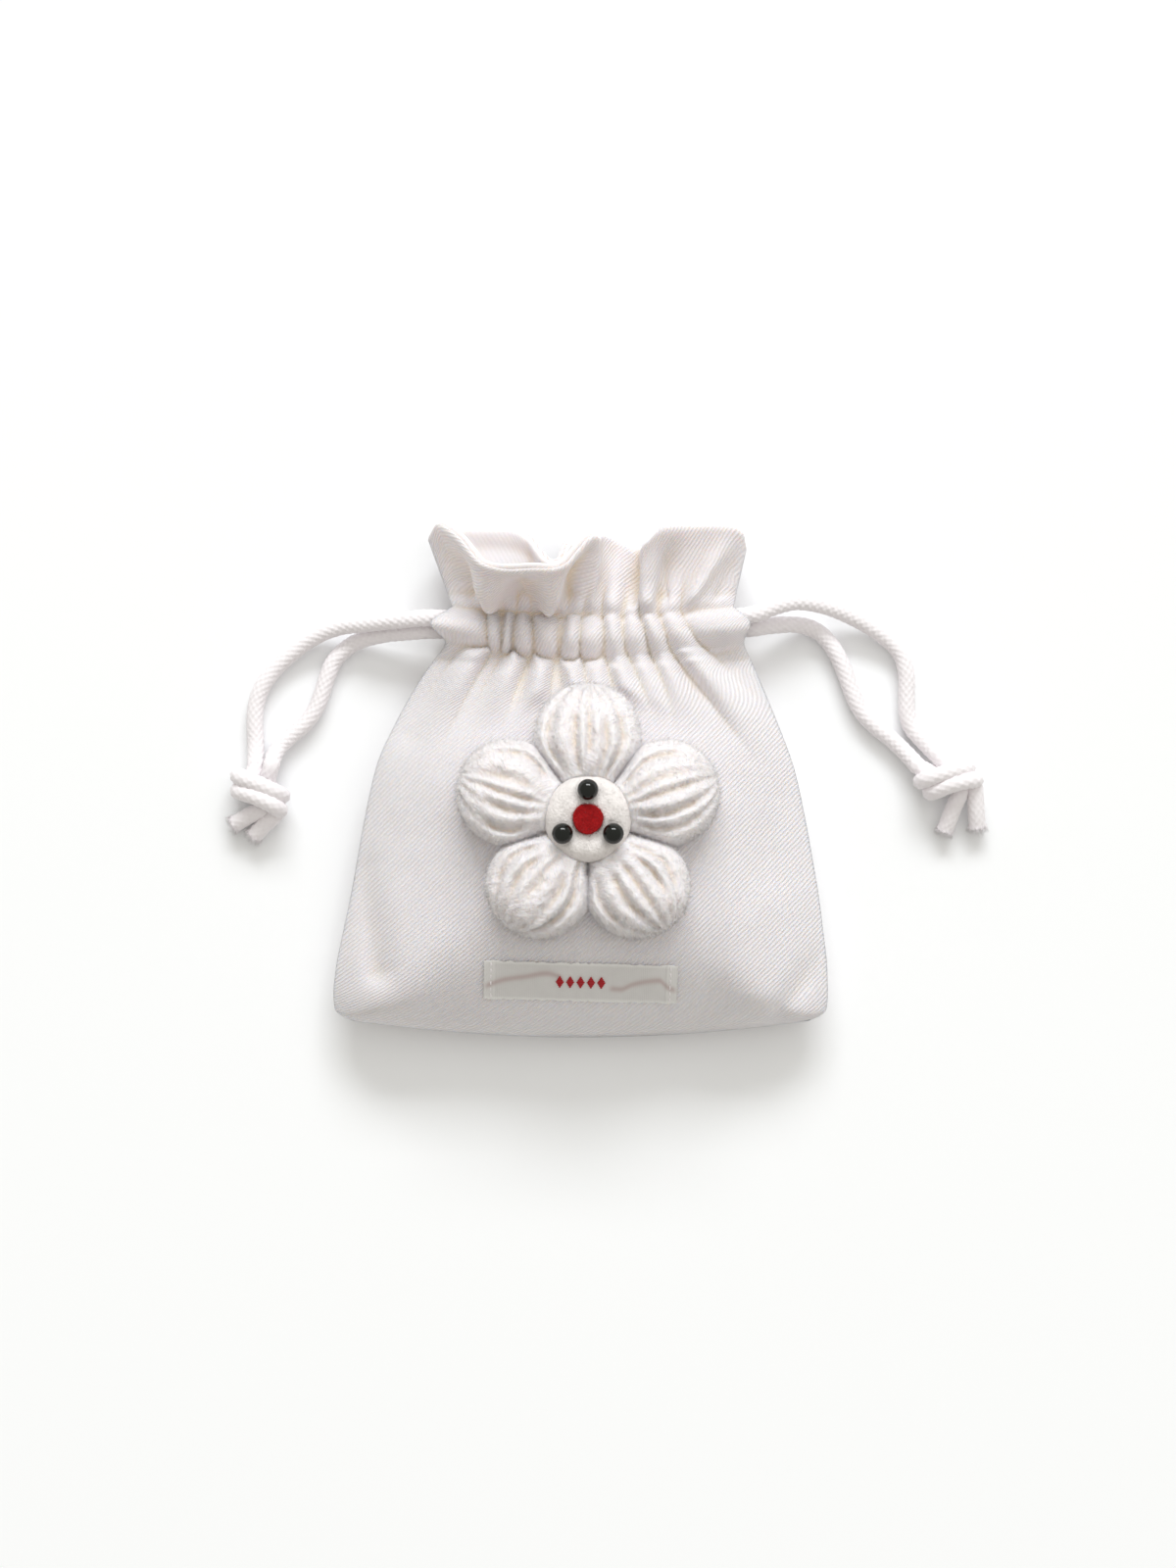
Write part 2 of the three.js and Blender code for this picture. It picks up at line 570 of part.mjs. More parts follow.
function beadCentre(index) {
  const angle = Math.PI / 2 + (index * 2 * Math.PI) / 3;
  const height = flowerSeat() + CENTRE.height + BEAD_DIAMETER / 2 - BEAD_SINK;
  return new THREE.Vector3(
    FLOWER.x + BEAD_RING * Math.cos(angle),
    FLOWER.y + BEAD_RING * Math.sin(angle),
    height,
  );
}

function beadGeometry(index, radius) {
  const centre = beadCentre(index);
  return new THREE.SphereGeometry(radius, 14, 9).translate(centre.x, centre.y, centre.z);
}

// The padded felt button in the middle, with a seat sunk into it for each bead
function centreGeometry() {
  const { radius, height } = CENTRE;
  const profile = [
    [0, 0], [0.8 * radius, 0], [radius, 0.25 * height], [radius, 0.62 * height],
    [0.9 * radius, 0.86 * height], [0.72 * radius, height], [0, height],
  ];
  const lathe = new THREE.LatheGeometry(profile.map(([r, h]) => new THREE.Vector2(r, h)), 20);
  lathe.rotateX(Math.PI / 2);
  lathe.translate(FLOWER.x, FLOWER.y, flowerSeat());
  let solid = toSolid(lathe);
  for (let index = 0; index < 3; index += 1) {
    solid = solid.subtract(toSolid(beadGeometry(index, BEAD_DIAMETER / 2 + GAP)));
  }
  return toGeometry(solid);
}

function dotGeometry() {
  const dot = new THREE.CylinderGeometry(RED_DOT.radius, RED_DOT.radius, RED_DOT.thick, 18);
  dot.rotateX(Math.PI / 2);
  return dot.translate(FLOWER.x, FLOWER.y, flowerSeat() + CENTRE.height + GAP + RED_DOT.thick / 2);
}

// A round cord along a list of points
function cordGeometry(points, radius) {
  const curve = new THREE.CatmullRomCurve3(points.map((p) => new THREE.Vector3(...p)));
  const section = new THREE.Shape();
  for (let k = 0; k < CORD_SIDES; k += 1) {
    const angle = (k * 2 * Math.PI) / CORD_SIDES;
    const corner = [radius * Math.cos(angle), radius * Math.sin(angle)];
    if (k === 0) section.moveTo(...corner);
    else section.lineTo(...corner);
  }
  section.closePath();
  const steps = Math.max(2, Math.round(curve.getLength() / CORD_STEP));
  const sweep = { steps, extrudePath: curve, bevelEnabled: false, curveSegments: 1 };
  return new THREE.ExtrudeGeometry(section, sweep);
}

// An overhand knot in two strands: a core, two wraps round it and two tails
function knotGeometry(knot) {
  const middle = new THREE.Vector3(...knot.middle);
  const turn = THREE.MathUtils.degToRad(knot.turn);
  const core = new THREE.SphereGeometry(1, 12, 8);
  core.scale(KNOT_CORE.width, KNOT_CORE.length, KNOT_CORE.height);
  let solid = toSolid(core.rotateZ(turn).translate(...knot.middle));
  KNOT_WRAP.tilts.forEach((tilt, index) => {
    const wrap = new THREE.TorusGeometry(KNOT_WRAP.ring, KNOT_WRAP.tube, 6, 14);
    wrap.rotateX(Math.PI / 2);
    wrap.scale(KNOT_CORE.width / KNOT_CORE.height, 1, 1);
    wrap.translate(0, (index - 0.5) * 2 * KNOT_WRAP.across, 0);
    wrap.rotateZ(THREE.MathUtils.degToRad(tilt) + turn).translate(...knot.middle);
    solid = solid.add(toSolid(wrap));
  });
  for (const end of knot.tails) {
    const bend = middle.clone().lerp(new THREE.Vector3(...end), 0.6);
    solid = solid.add(toSolid(cordGeometry([knot.middle, bend.toArray(), end], CORD_DIAMETER / 2)));
  }
  for (const strand of knot.strands) {
    solid = solid.subtract(toSolid(cordGeometry(STRANDS[strand], CORD_DIAMETER / 2 + GAP)));
  }
  return toGeometry(solid);
}

const pouch = new THREE.Group();

function addPiece(name, geometry, finish) {
  const mesh = new THREE.Mesh(geometry, new THREE.MeshStandardMaterial(COLOURS[finish]));
  mesh.name = name;
  pouch.add(mesh);
}

addPiece("front_panel", panelGeometry(1, FRONT_ROWS, FRONT_COLUMNS), "twill");
addPiece("back_panel", panelGeometry(-1, BACK_ROWS, BACK_COLUMNS), "twill");
addPiece("label", labelGeometry(), "ribbon");
for (let index = 0; index < FLOWER.petals; index += 1) {
  addPiece(`petal_${index + 1}`, petalGeometry(index), "fleece");
}
addPiece("flower_centre", centreGeometry(), "felt");
addPiece("red_dot", dotGeometry(), "red_felt");
for (let index = 0; index < 3; index += 1) {
  addPiece(`bead_${index + 1}`, beadGeometry(index, BEAD_DIAMETER / 2), "bead");
}
for (const [name, points] of Object.entries(STRANDS)) {
  addPiece(name, cordGeometry(points, CORD_DIAMETER / 2), "cord");
}
for (const [name, knot] of Object.entries(KNOTS)) {
  addPiece(name, knotGeometry(knot), "cord");
}

export default pouch;
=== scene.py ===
import math

import bpy
import numpy as np
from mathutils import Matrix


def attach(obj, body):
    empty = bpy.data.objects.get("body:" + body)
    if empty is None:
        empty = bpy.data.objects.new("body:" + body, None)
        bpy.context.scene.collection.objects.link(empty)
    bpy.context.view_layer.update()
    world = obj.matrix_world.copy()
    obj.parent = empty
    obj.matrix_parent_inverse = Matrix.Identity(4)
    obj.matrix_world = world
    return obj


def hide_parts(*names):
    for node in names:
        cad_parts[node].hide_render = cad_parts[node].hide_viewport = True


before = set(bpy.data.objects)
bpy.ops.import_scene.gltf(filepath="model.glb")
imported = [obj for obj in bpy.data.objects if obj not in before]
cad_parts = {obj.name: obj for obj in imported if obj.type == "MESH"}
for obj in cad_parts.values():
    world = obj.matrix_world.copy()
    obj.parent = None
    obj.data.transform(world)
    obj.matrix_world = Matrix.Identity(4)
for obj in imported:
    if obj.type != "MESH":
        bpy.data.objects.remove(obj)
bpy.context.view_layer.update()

# All sizes are in metres, in the CAD frame: +X to the right, +Y to the mouth, +Z out of the front.
UP = np.array([0.0, 0.0, 1.0])
NOISE_SIZE = 64

# Random draws, and how a brushed fibre stands
SEEDS = {"pleats": 31, "fibres": 51, "button": 61, "button_fibres": 62, "dot": 63, "dot_fibres": 64,
         "ragged": 71, "label": 72, "cord": 81, "tail": 91}
FIBRE = {"scatter": 0.00025, "sink": 0.00012, "upright": 0.5, "shortest": 0.35, "back": 0.5, "spread": 0.8}

# Cloth
CLOTH = 0.0014
RIM_CLOTH = 0.0032
SEAM_SLOT = 0.0001
CORD_SLOT = {"middle": 0.0477, "reach": 0.0097, "half": 0.0064}
TWILL_PITCH = 0.00115
TWILL_ANGLE = math.radians(42)
# Yarns across the twill's ribs
YARN_PITCH = 1.3 * TWILL_PITCH
YARN_SHIFT = 0.37
YARN_LEAST = 0.7
# Rounds that soften the wall's normals, where the frill thickens to its rim, and how the rim rolls over
WALL_ROUNDS = 14
RIM_FROM = 0.75
ROLL = {"steps": 17, "swell": 0.0012, "round": 0.6}
# How the cloth's hollows are found for their painted warm shade: rounds of smoothing and the depth of a full
# hollow
CLOTH_SHADE_HOLLOWS = {"rounds": 10, "depth": 0.0009}
# Rows that even out the cloth's length, and steps of the search for a place on the front
LENGTH_REACH = 12
HALVINGS = 26
FRONT_GRID = {"rows": 165, "frill": 34, "columns": 190}
BACK_GRID = {"rows": 70, "frill": 30, "columns": 150}

# Sections of the body from the bottom seam up to the frill's stitch line
SECTION_COLUMNS = ("mid_y", "end_y", "half", "shift", "seam", "front", "back")
SECTIONS = (
    (-0.0772, -0.0722, 0.0690, 0.0000, 0.0110, 0.0402, 0.0108),
    (-0.0758, -0.0707, 0.0726, 0.0000, 0.0110, 0.0402, 0.0050),
    (-0.0725, -0.0686, 0.0746, 0.0000, 0.0110, 0.0402, 0.0016),
    (-0.0660, -0.0640, 0.0750, 0.0000, 0.0115, 0.0402, 0.0000),
    (-0.0570, -0.0560, 0.0745, 0.0003, 0.0120, 0.0402, 0.0000),
    (-0.0450, -0.0445, 0.0727, 0.0008, 0.0125, 0.0402, 0.0000),
    (-0.0300, -0.0300, 0.0702, 0.0013, 0.0130, 0.0400, 0.0000),
    (-0.0120, -0.0120, 0.0670, 0.0013, 0.0130, 0.0400, 0.0000),
    (0.0050, 0.0050, 0.0632, 0.0013, 0.0130, 0.0382, 0.0000),
    (0.0180, 0.0180, 0.0580, 0.0018, 0.0125, 0.0346, 0.0000),
    (0.0280, 0.0295, 0.0524, 0.0026, 0.0120, 0.0300, 0.0000),
    (0.0335, 0.0375, 0.0480, 0.0036, 0.0120, 0.0260, 0.0004),
    (0.0368, 0.0426, 0.0452, 0.0042, 0.0120, 0.0230, 0.0016),
    (0.0438, 0.0480, 0.0483, 0.0030, 0.0120, 0.0254, 0.0006),
    (0.0508, 0.0534, 0.0426, 0.0037, 0.0120, 0.0226, 0.0016),
)
LOWER_STITCH = 12
UPPER_STITCH = 14
FRONT_DOME = {"power": 2.2, "lift": 0.82}
BOTTOM = {"slope": 0.76, "sides": 1.3, "roll": 0.0040, "run": 0.0024, "crest": 4.0, "from": 0.5, "to": 0.85}
BACK_FLAT = {"share": 0.72, "power": 2.2}

# Creases between the casing's ribs: x at the upper and at the lower row of stitches, height of the rib
# after it, half width of the hollow that opens there at the upper and at the lower row
CASING_CREASES = (
    (-0.0284, -0.0278, 0.0036, 0.0002, 0.0002),
    (-0.0238, -0.0242, 0.0042, 0.0009, 0.0001),
    (-0.0194, -0.0202, 0.0040, 0.0002, 0.0007),
    (-0.0150, -0.0142, 0.0036, 0.0003, 0.0006),
    (-0.0055, -0.0066, 0.0045, 0.0014, 0.0004),
    (0.0004, -0.0002, 0.0032, 0.0000, 0.0002),
    (0.0064, 0.0067, 0.0043, 0.0002, 0.0006),
    (0.0126, 0.0142, 0.0033, 0.0007, 0.0001),
    (0.0176, 0.0212, 0.0041, 0.0002, 0.0003),
    (0.0234, 0.0272, 0.0035, 0.0006, 0.0001),
    (0.0300, 0.0375, 0.0040, 0.0002, 0.0002),
)
CREASE_BEND = 0.0006
CREASE_STAGGER = 2.4
STITCH_CRIMP = 0.0016
RIB_HEIGHT = 0.0040
RIB_SHAPE = {"flat": 2.2, "round": 0.7, "end_run": 0.003}
RIB_PINCH = 0.45
RIB_JOINED = 0.9
JOINED = (-0.001, 0.013)
FOLD_TIP = 0.0030
# How the folds meet, how they open below the casing, and where the flower presses them flat
FOLD_SHAPE = {"spread": 0.7, "fade": 0.05, "unit": 0.001, "meet": 4}
GATHER = {"pillow": 0.8, "rib_end": 0.002, "open": 0.85, "fold_end": 0.35}
GATHER_START = 2
PRESSED = {"inside": 0.006, "outside": 0.001}
GROOVE = {"depth": 0.0015, "width": 0.0011, "lower_loss": 0.75, "upper_loss": 0.3}
# Relief fades towards the side seams, and rows of points lie closer at the gathers
SEAM_FADE = 8
CLOSER = {"steps": 600, "by": 1.4, "from": 0.012, "to": 0.030}
# Ripples of the front: height, size, seed
RIPPLES = ((0.0005, 0.019, 11), (0.00018, 0.007, 12))

# Folds that run down from the casing: x and y of the upper end and of the lower end, half width, height
FOLDS = (
    (-0.0310, 0.0409, -0.0525, 0.0070, 0.0041, 0.0068),
    (-0.0184, 0.0400, -0.0305, 0.0150, 0.0034, 0.0070),
    (-0.0111, 0.0386, -0.0162, 0.0120, 0.0032, 0.0068),
    (-0.0032, 0.0378, 0.0012, 0.0140, 0.0032, 0.0068),
    (0.0044, 0.0370, 0.0072, 0.0150, 0.0034, 0.0052),
    (0.0112, 0.0368, 0.0210, 0.0120, 0.0036, 0.0062),
    (0.0182, 0.0370, 0.0275, 0.0155, 0.0032, 0.0050),
    (0.0250, 0.0374, 0.0350, 0.0150, 0.0033, 0.0054),
    (0.0325, 0.0396, 0.0640, 0.0050, 0.0044, 0.0070),
)

# Long creases and dents of the front: x and y of each end, width to each side, height
CREASES = (
    (-0.040, 0.038, -0.052, 0.016, 0.0050, -0.0020),
    (0.042, 0.040, 0.060, 0.020, 0.0045, -0.0022),
    (-0.0665, -0.026, -0.0612, -0.056, 0.0046, -0.0034),
    (0.073, -0.052, 0.061, -0.068, 0.0040, -0.0030),
    (0.060, -0.006, 0.057, -0.026, 0.0080, -0.0014),
)

# The frill, a row for each fold of its rim: place across the neck, drift, rise and lift of the rim
FRILL_COLUMNS = ("at", "drift", "rise", "lift")
FRONT_FRILL = (
    (-1.00, -0.0073, 0.0200, 0.0000),
    (-0.94, -0.0072, 0.0235, 0.0050),
    (-0.88, -0.0045, 0.0200, 0.0115),
    (-0.73, -0.0015, 0.0118, 0.0210),
    (-0.56, 0.0000, 0.0095, 0.0225),
    (-0.40, 0.0020, 0.0105, 0.0220),
    (-0.26, 0.0035, 0.0125, 0.0200),
    (-0.14, 0.0072, 0.0212, 0.0140),
    (-0.07, 0.0052, 0.0212, 0.0060),
    (0.00, 0.0030, 0.0226, 0.0005),
    (0.11, 0.0025, 0.0212, -0.0040),
    (0.25, 0.0025, 0.0185, -0.0040),
    (0.34, 0.0005, 0.0195, 0.0040),
    (0.46, 0.0015, 0.0235, 0.0090),
    (0.66, 0.0030, 0.0240, 0.0050),
    (0.84, 0.0045, 0.0235, 0.0050),
    (0.93, 0.0055, 0.0215, 0.0030),
    (1.00, 0.0040, 0.0173, 0.0000),
)
BACK_FRILL = (
    (-1.00, -0.0073, 0.0200, 0.0000),
    (-0.85, -0.0030, 0.0242, 0.0010),
    (-0.60, 0.0000, 0.0252, 0.0005),
    (-0.45, 0.0010, 0.0230, 0.0030),
    (-0.33, 0.0020, 0.0160, 0.0110),
    (-0.22, 0.0005, 0.0215, 0.0050),
    (0.00, 0.0000, 0.0225, 0.0005),
    (0.30, 0.0010, 0.0200, 0.0040),
    (0.70, 0.0030, 0.0230, 0.0005),
    (0.90, 0.0045, 0.0205, 0.0002),
    (1.00, 0.0040, 0.0173, 0.0000),
)
# Pleats of the front frill: place across at its stitches and at its rim, height, half width
FRILL_PLEATS = (
    (-0.880, -0.910, -0.0054, 0.075),
    (-0.700, -0.740, 0.0046, 0.075),
    (-0.495, -0.500, -0.0044, 0.105),
    (-0.330, -0.310, 0.0042, 0.065),
    (-0.160, -0.200, -0.0046, 0.070),
    (-0.020, -0.070, 0.0020, 0.050),
    (0.120, 0.100, 0.0016, 0.080),
    (0.265, 0.285, -0.0022, 0.055),
    (0.375, 0.375, 0.0022, 0.060),
    (0.510, 0.530, -0.0036, 0.085),
    (0.660, 0.880, 0.0030, 0.055),
    (0.850, 1.000, -0.0022, 0.060),
)

# How the pleats widen to the rim, and how soon the casing's relief flattens in the frill
PLEAT = {"narrow": 0.6, "widening": 0.8, "full_at": 0.2, "rim_from": 0.5, "rim_loss": 0.85}
FLATTENS = {"ribs": 0.3, "groove": 0.06}

# Flower and label
FLOWER = {"x": 0.0022, "y": -0.0105, "reach": 0.0402, "hub": 0.0128, "half": 0.0158, "base": 0.0076}
PETALS = 5
PETAL_HEIGHT = 0.0150
PETAL_EDGE = 0.42
PETAL_WIDEST = 0.45
PETAL_OPENS = 1.4
PETAL_CREASES = 5
PETAL_TIP = {"plan": 2.2, "height": 2.4}
PETAL_NECK = 0.62
PETAL_SEAM = 0.12
PETAL_ROUND = {"top": 0.55, "bottom": 0.8}
PETAL_GRID = {"along": 110, "over": 124, "under": 34, "tip": 0.9, "end": 0.998, "crowd": 0.4}
# How a petal's hollows are found for their painted warm shade: rounds of smoothing and the depth of a full
# hollow
PETAL_SHADE_HOLLOWS = {"rounds": 30, "depth": 0.0010}
# Lumps of a petal: height, size, seed of the first petal
PETAL_LUMPS = ((0.0004, 0.004, 41), (0.00022, 0.0012, 46))
LUMP_STRETCH = 0.7
CREASE_LINE = {"reach": 0.72, "stray": 0.07, "start": (-0.1, 0.12), "end": (0.78, 1.0), "bend": 0.06,
               "strength": (0.6, 1.0), "closing": 0.12, "fade_in": 0.2, "fade_out": 0.35}
VALLEY_FROM = 0.1
PLEAT_LIFT = 0.25
NOTCH = {"in": (0.5, 0.85), "out": (0.88, 1.0)}
PLEAT_DEPTH = 0.0026
PLEAT_NOTCH = 0.0016
PETAL_FIBRES = {"count": 12000, "length": 0.0022, "width": 0.00004, "lean": 0.55, "ruffle": 0.65}
CENTRE = {"radius": 0.0128, "height": 0.0130, "rounding": 0.0042}
BUTTON = {"foot": 0.86, "foot_height": 0.004, "bend_rows": 26, "cap_reach": 0.985, "cap_rows": 40,
          "segments": 128, "top": 0.005, "dent": 0.0016, "dent_width": 0.0034, "puff": 0.0005,
          "lumps": 0.00025, "lump_size": 0.003}
NOISE_SHIFT = 0.05
BUTTON_FIBRES = {"count": 6000, "length": 0.0009, "width": 0.00004, "lean": 0.6, "ruffle": 0.45}
RED_DOT = {"radius": 0.0045, "thick": 0.0014, "foot": 0.97, "edge": 0.95, "cap_reach": 0.98, "cap_rows": 16,
           "segments": 72, "wall": (0.3, 0.7), "lumps": 0.00012, "lump_size": 0.0012}
# Waves of the disc's cut edge: height, number round it, start
DOT_WAVES = ((0.02, 3, 0.7), (0.008, 7, 0.0))
DOT_FIBRES = {"count": 2500, "length": 0.0008, "width": 0.00004, "lean": 0.6, "ruffle": 0.45}
BEADS = 3
BEAD_RADIUS = 0.0031
BEAD_GRID = {"reach": 0.49, "rows": 32, "segments": 48}
BEAD_RING = 0.0086
BEAD_SINK = 0.0012
GAP = 0.0003
LABEL = {"width": 0.058, "height": 0.0118, "thick": 0.0004, "gap": 0.00006, "fold": 0.0034,
         "x": 0.0, "y": -0.0596}
LABEL_GRID = (180, 40)
LABEL_SHIFT = 0.1
LABEL_STEP = {"half": 0.0002, "height": 0.0003}
LABEL_WAVE = {"held": 0.25, "side_run": 0.004, "end_run": 0.006, "size": 0.009, "height": 0.0005}
LABEL_RAGGED = {"from": 0.49, "depth": 0.00025, "size": 0.0011}
RIBBON_EDGE_WIDTH = 0.0011
WEFT_PITCH = 0.00055
WARP_PITCH = 0.0004
STITCH_GRID = (9, 8)
STITCH_END = 0.04
LOZENGE = {"reach": 0.0062, "count": 5, "half": 0.0013, "step": 0.00048, "rows": 3}
END_STITCH = {"along": 0.0268, "reach": 0.0048, "count": 6, "half": 0.0006}
LABEL_TILT = math.radians(-1.6)
# Loose threads that show through the ribbon: places along and up from its middle
LOOSE_THREADS = (
    ((-0.0284, -0.0019), (-0.0225, 0.0003), (-0.0161, 0.0014), (-0.0102, 0.0025), (-0.0059, 0.0016)),
    ((0.0089, -0.0017), (0.0119, -0.0018), (0.0157, -0.0002), (0.0199, 0.0008), (0.0233, 0.0012),
     (0.0263, -0.0010), (0.0284, -0.0018)),
)
LOOSE_THREAD_WIDTH = 0.0009
LOOSE_THREAD_END = 0.001

# Cords: each strand's route from inside the casing to its knot
CORD_DIAMETER = 0.0052
BRAID_YARNS = 8
BRAID_PITCH = 0.0024
YARN = {"wide": 0.96, "round": 0.7, "long": 0.7, "core": 0.87, "relief": 0.15,
        "soft": 0.03, "arc": 0.0023, "lump": 0.004}
CORD_SHIFT = 0.2
CURVE_STEPS = 40
STRAND_STEP = 0.00035
STRANDS = {
    "left_front": (
        (-0.0390, 0.0498, 0.0142), (-0.0453, 0.0500, 0.0142), (-0.0525, 0.0496, 0.0132),
        (-0.0595, 0.0489, 0.0114), (-0.0665, 0.0483, 0.0090), (-0.0738, 0.0474, 0.0066),
        (-0.0814, 0.0445, 0.0044), (-0.0876, 0.0401, 0.0032), (-0.0932, 0.0350, 0.0028),
        (-0.0973, 0.0294, 0.0028), (-0.0992, 0.0238, 0.0028), (-0.0996, 0.0181, 0.0028),
        (-0.0994, 0.0130, 0.0029), (-0.0992, 0.0089, 0.0036), (-0.0992, 0.0054, 0.0048),
    ),
    "left_back": (
        (-0.0390, 0.0463, 0.0099), (-0.0453, 0.0464, 0.0099), (-0.0525, 0.0460, 0.0086),
        (-0.0595, 0.0453, 0.0066), (-0.0661, 0.0439, 0.0046), (-0.0709, 0.0416, 0.0032),
        (-0.0751, 0.0376, 0.0028), (-0.0773, 0.0330, 0.0028), (-0.0789, 0.0279, 0.0028),
        (-0.0809, 0.0227, 0.0028), (-0.0840, 0.0184, 0.0028), (-0.0884, 0.0145, 0.0028),
        (-0.0916, 0.0114, 0.0034), (-0.0934, 0.0084, 0.0054), (-0.0942, 0.0050, 0.0074),
    ),
    "right_front": (
        (0.0450, 0.0502, 0.0142), (0.0512, 0.0508, 0.0142), (0.0554, 0.0520, 0.0138),
        (0.0602, 0.0539, 0.0129), (0.0660, 0.0550, 0.0114), (0.0729, 0.0541, 0.0094),
        (0.0803, 0.0517, 0.0068), (0.0872, 0.0483, 0.0046), (0.0936, 0.0440, 0.0032),
        (0.0978, 0.0393, 0.0028), (0.0995, 0.0334, 0.0028), (0.0996, 0.0271, 0.0028),
        (0.0998, 0.0212, 0.0028), (0.1014, 0.0165, 0.0030), (0.1052, 0.0122, 0.0038),
        (0.1086, 0.0086, 0.0052),
    ),
    "right_back": (
        (0.0450, 0.0466, 0.0099), (0.0512, 0.0469, 0.0099), (0.0560, 0.0476, 0.0086),
        (0.0610, 0.0482, 0.0068), (0.0656, 0.0483, 0.0050), (0.0700, 0.0474, 0.0036),
        (0.0745, 0.0446, 0.0028), (0.0782, 0.0395, 0.0028), (0.0809, 0.0334, 0.0028),
        (0.0830, 0.0276, 0.0028), (0.0857, 0.0220, 0.0028), (0.0899, 0.0175, 0.0028),
        (0.0949, 0.0134, 0.0029), (0.0989, 0.0096, 0.0034), (0.1032, 0.0049, 0.0052),
    ),
}
KNOTS = {
    "left": {
        "middle": (-0.0976, -0.0026, 0.0068),
        "turn": math.radians(0),
        "tails": ((-0.1058, -0.0126, 0.0030), (-0.1000, -0.0162, 0.0030)),
    },
    "right": {
        "middle": (0.1120, 0.0013, 0.0068),
        "turn": math.radians(40),
        "tails": ((0.1112, -0.0146, 0.0030), (0.1212, -0.0136, 0.0030)),
    },
}
# The knot's line for a pair of strands: down the pull, across and up, then the way the pair lies
KNOT_LINE = (
    ((-0.0030, 0.0000, -0.0015), (0.0, 1.0, 0.0)),
    ((0.0015, 0.0022, -0.0025), (-0.5, 0.8, 0.0)),
    ((0.0035, 0.0062, -0.0005), (-1.0, 0.2, 0.0)),
    ((0.0020, 0.0042, 0.0034), (-1.0, 0.0, 0.0)),
    ((-0.0004, -0.0008, 0.0046), (-1.0, -0.1, 0.0)),
    ((-0.0020, -0.0054, 0.0026), (-1.0, 0.0, 0.1)),
    ((-0.0024, -0.0066, -0.0014), (-1.0, 0.0, 0.0)),
    ((-0.0010, -0.0030, -0.0038), (-1.0, 0.2, 0.0)),
    ((0.0016, 0.0032, -0.0036), (-0.9, -0.3, 0.0)),
    ((0.0056, 0.0030, -0.0012), (-0.35, -0.9, 0.1)),
)
PAIR_OFFSET = 0.0022
KNOT_STEP = 0.0004
KNOT_AROUND = 36
TAIL_ARCH = 0.0006
# Shares of the points before and after, where a strand enters its knot and half way down its tail
ENTRY_SHARES = (0.3, 0.7)
TAIL_SHARES = (0.45, 0.55)
FRAYED_RINGS = 3
TAIL_FIBRES = {"count": 350, "length": 0.0026, "width": 0.00007, "lean": 0.16}

# Camera, straight above as in the photo, with this height of the scene filling the picture
FRAME_HEIGHT = 0.4752
CAMERA_HEIGHT = 1.2
CAMERA_MIDDLE = (0.00223, -0.0003)
SEAM_LEVEL = 0.013
SENSOR = 36.0

# Floor and lights
FLOOR_REACH = 3.0
FLOOR_LEVEL = -0.0002
LIT_POINT = (0, 0, 0.02)
SKY_COLOUR = (1.0, 0.972, 0.895, 1.0)
SKY_STRENGTH = 0.50
FILL = {"energy": 0.7, "angle": math.radians(60), "place": (0.28, 0.45, 1.0)}
WINDOW = {"place": (0.3, 5.0, 3.5), "size": (4.2, 1.5), "energy": 258.0}
WINDOW_COLOUR = (0.955, 0.98, 1.0)


# Numbers
def column(table, names, name):
    return np.array([row[names.index(name)] for row in table])


def smooth_column(places, values, at):
    """A smooth curve through the values with no overshoot between them."""
    at = np.clip(at, places[0], places[-1])
    slope = np.diff(values) / np.diff(places)
    product = slope[:-1] * slope[1:]
    total = slope[:-1] + slope[1:]
    safe = np.where(total == 0, 1.0, total)
    inner = np.where(product > 0, 2 * product / safe, 0.0)
    tangent = np.concatenate([slope[:1], inner, slope[-1:]])
    k = np.clip(np.searchsorted(places, at, side="right") - 1, 0, len(places) - 2)
    span = places[k + 1] - places[k]
    u = (at - places[k]) / span
    ease = u * u * (3 - 2 * u)
    lead = u * (1 - u) ** 2 * span * tangent[k]
    trail = u * u * (u - 1) * span * tangent[k + 1]
    return values[k] + (values[k + 1] - values[k]) * ease + lead + trail


def bell(distance, width):
    return np.exp(-((distance / width) ** 2))


def smooth_step(low, high, value):
    share = np.clip((value - low) / (high - low), 0, 1)
    return share * share * (3 - 2 * share)


def soft_noise(u, v, cell, seed):
    """Smooth noise from -1 to 1 whose lumps are about one cell across."""
    table = np.random.default_rng(seed).uniform(-1, 1, (NOISE_SIZE, NOISE_SIZE))
    a, b = u / cell, v / cell
    i, j = np.floor(a).astype(int), np.floor(b).astype(int)
    fa, fb = smooth_step(0, 1, a - i), smooth_step(0, 1, b - j)
    left, right = i % NOISE_SIZE, (i + 1) % NOISE_SIZE
    near, far = j % NOISE_SIZE, (j + 1) % NOISE_SIZE
    low = table[left, near] * (1 - fa) + table[right, near] * fa
    high = table[left, far] * (1 - fa) + table[right, far] * fa
    return low * (1 - fb) + high * fb


def grid_normals(points):
    """Unit normals of a grid of points, rows by columns by three."""
    across = np.gradient(points, axis=1)
    along = np.gradient(points, axis=0)
    normal = np.cross(across, along)
    return normal / np.maximum(np.linalg.norm(normal, axis=2, keepdims=True), 1e-12)


def upward_normals(points):
    """The normals of a grid, turned so that most of them point up."""
    normals = grid_normals(points)
    return normals * np.sign(normals[..., 2].mean())


def softened(points, rounds):
    """A grid of points, averaged with its neighbours a number of rounds."""
    for _ in range(rounds):
        wide = np.pad(points, ((1, 1), (1, 1), (0, 0)), mode="edge")
        lengthwise = (wide[:-2] + 2 * wide[1:-1] + wide[2:]) / 4
        points = (lengthwise[:, :-2] + 2 * lengthwise[:, 1:-1] + lengthwise[:, 2:]) / 4
    return points


def hollows(points, normals, rounds, depth):
    """How far each point of a grid lies in a hollow, from 0 to 1."""
    return np.clip(np.sum((softened(points, rounds) - points) * normals, axis=2) / depth, 0, 1)


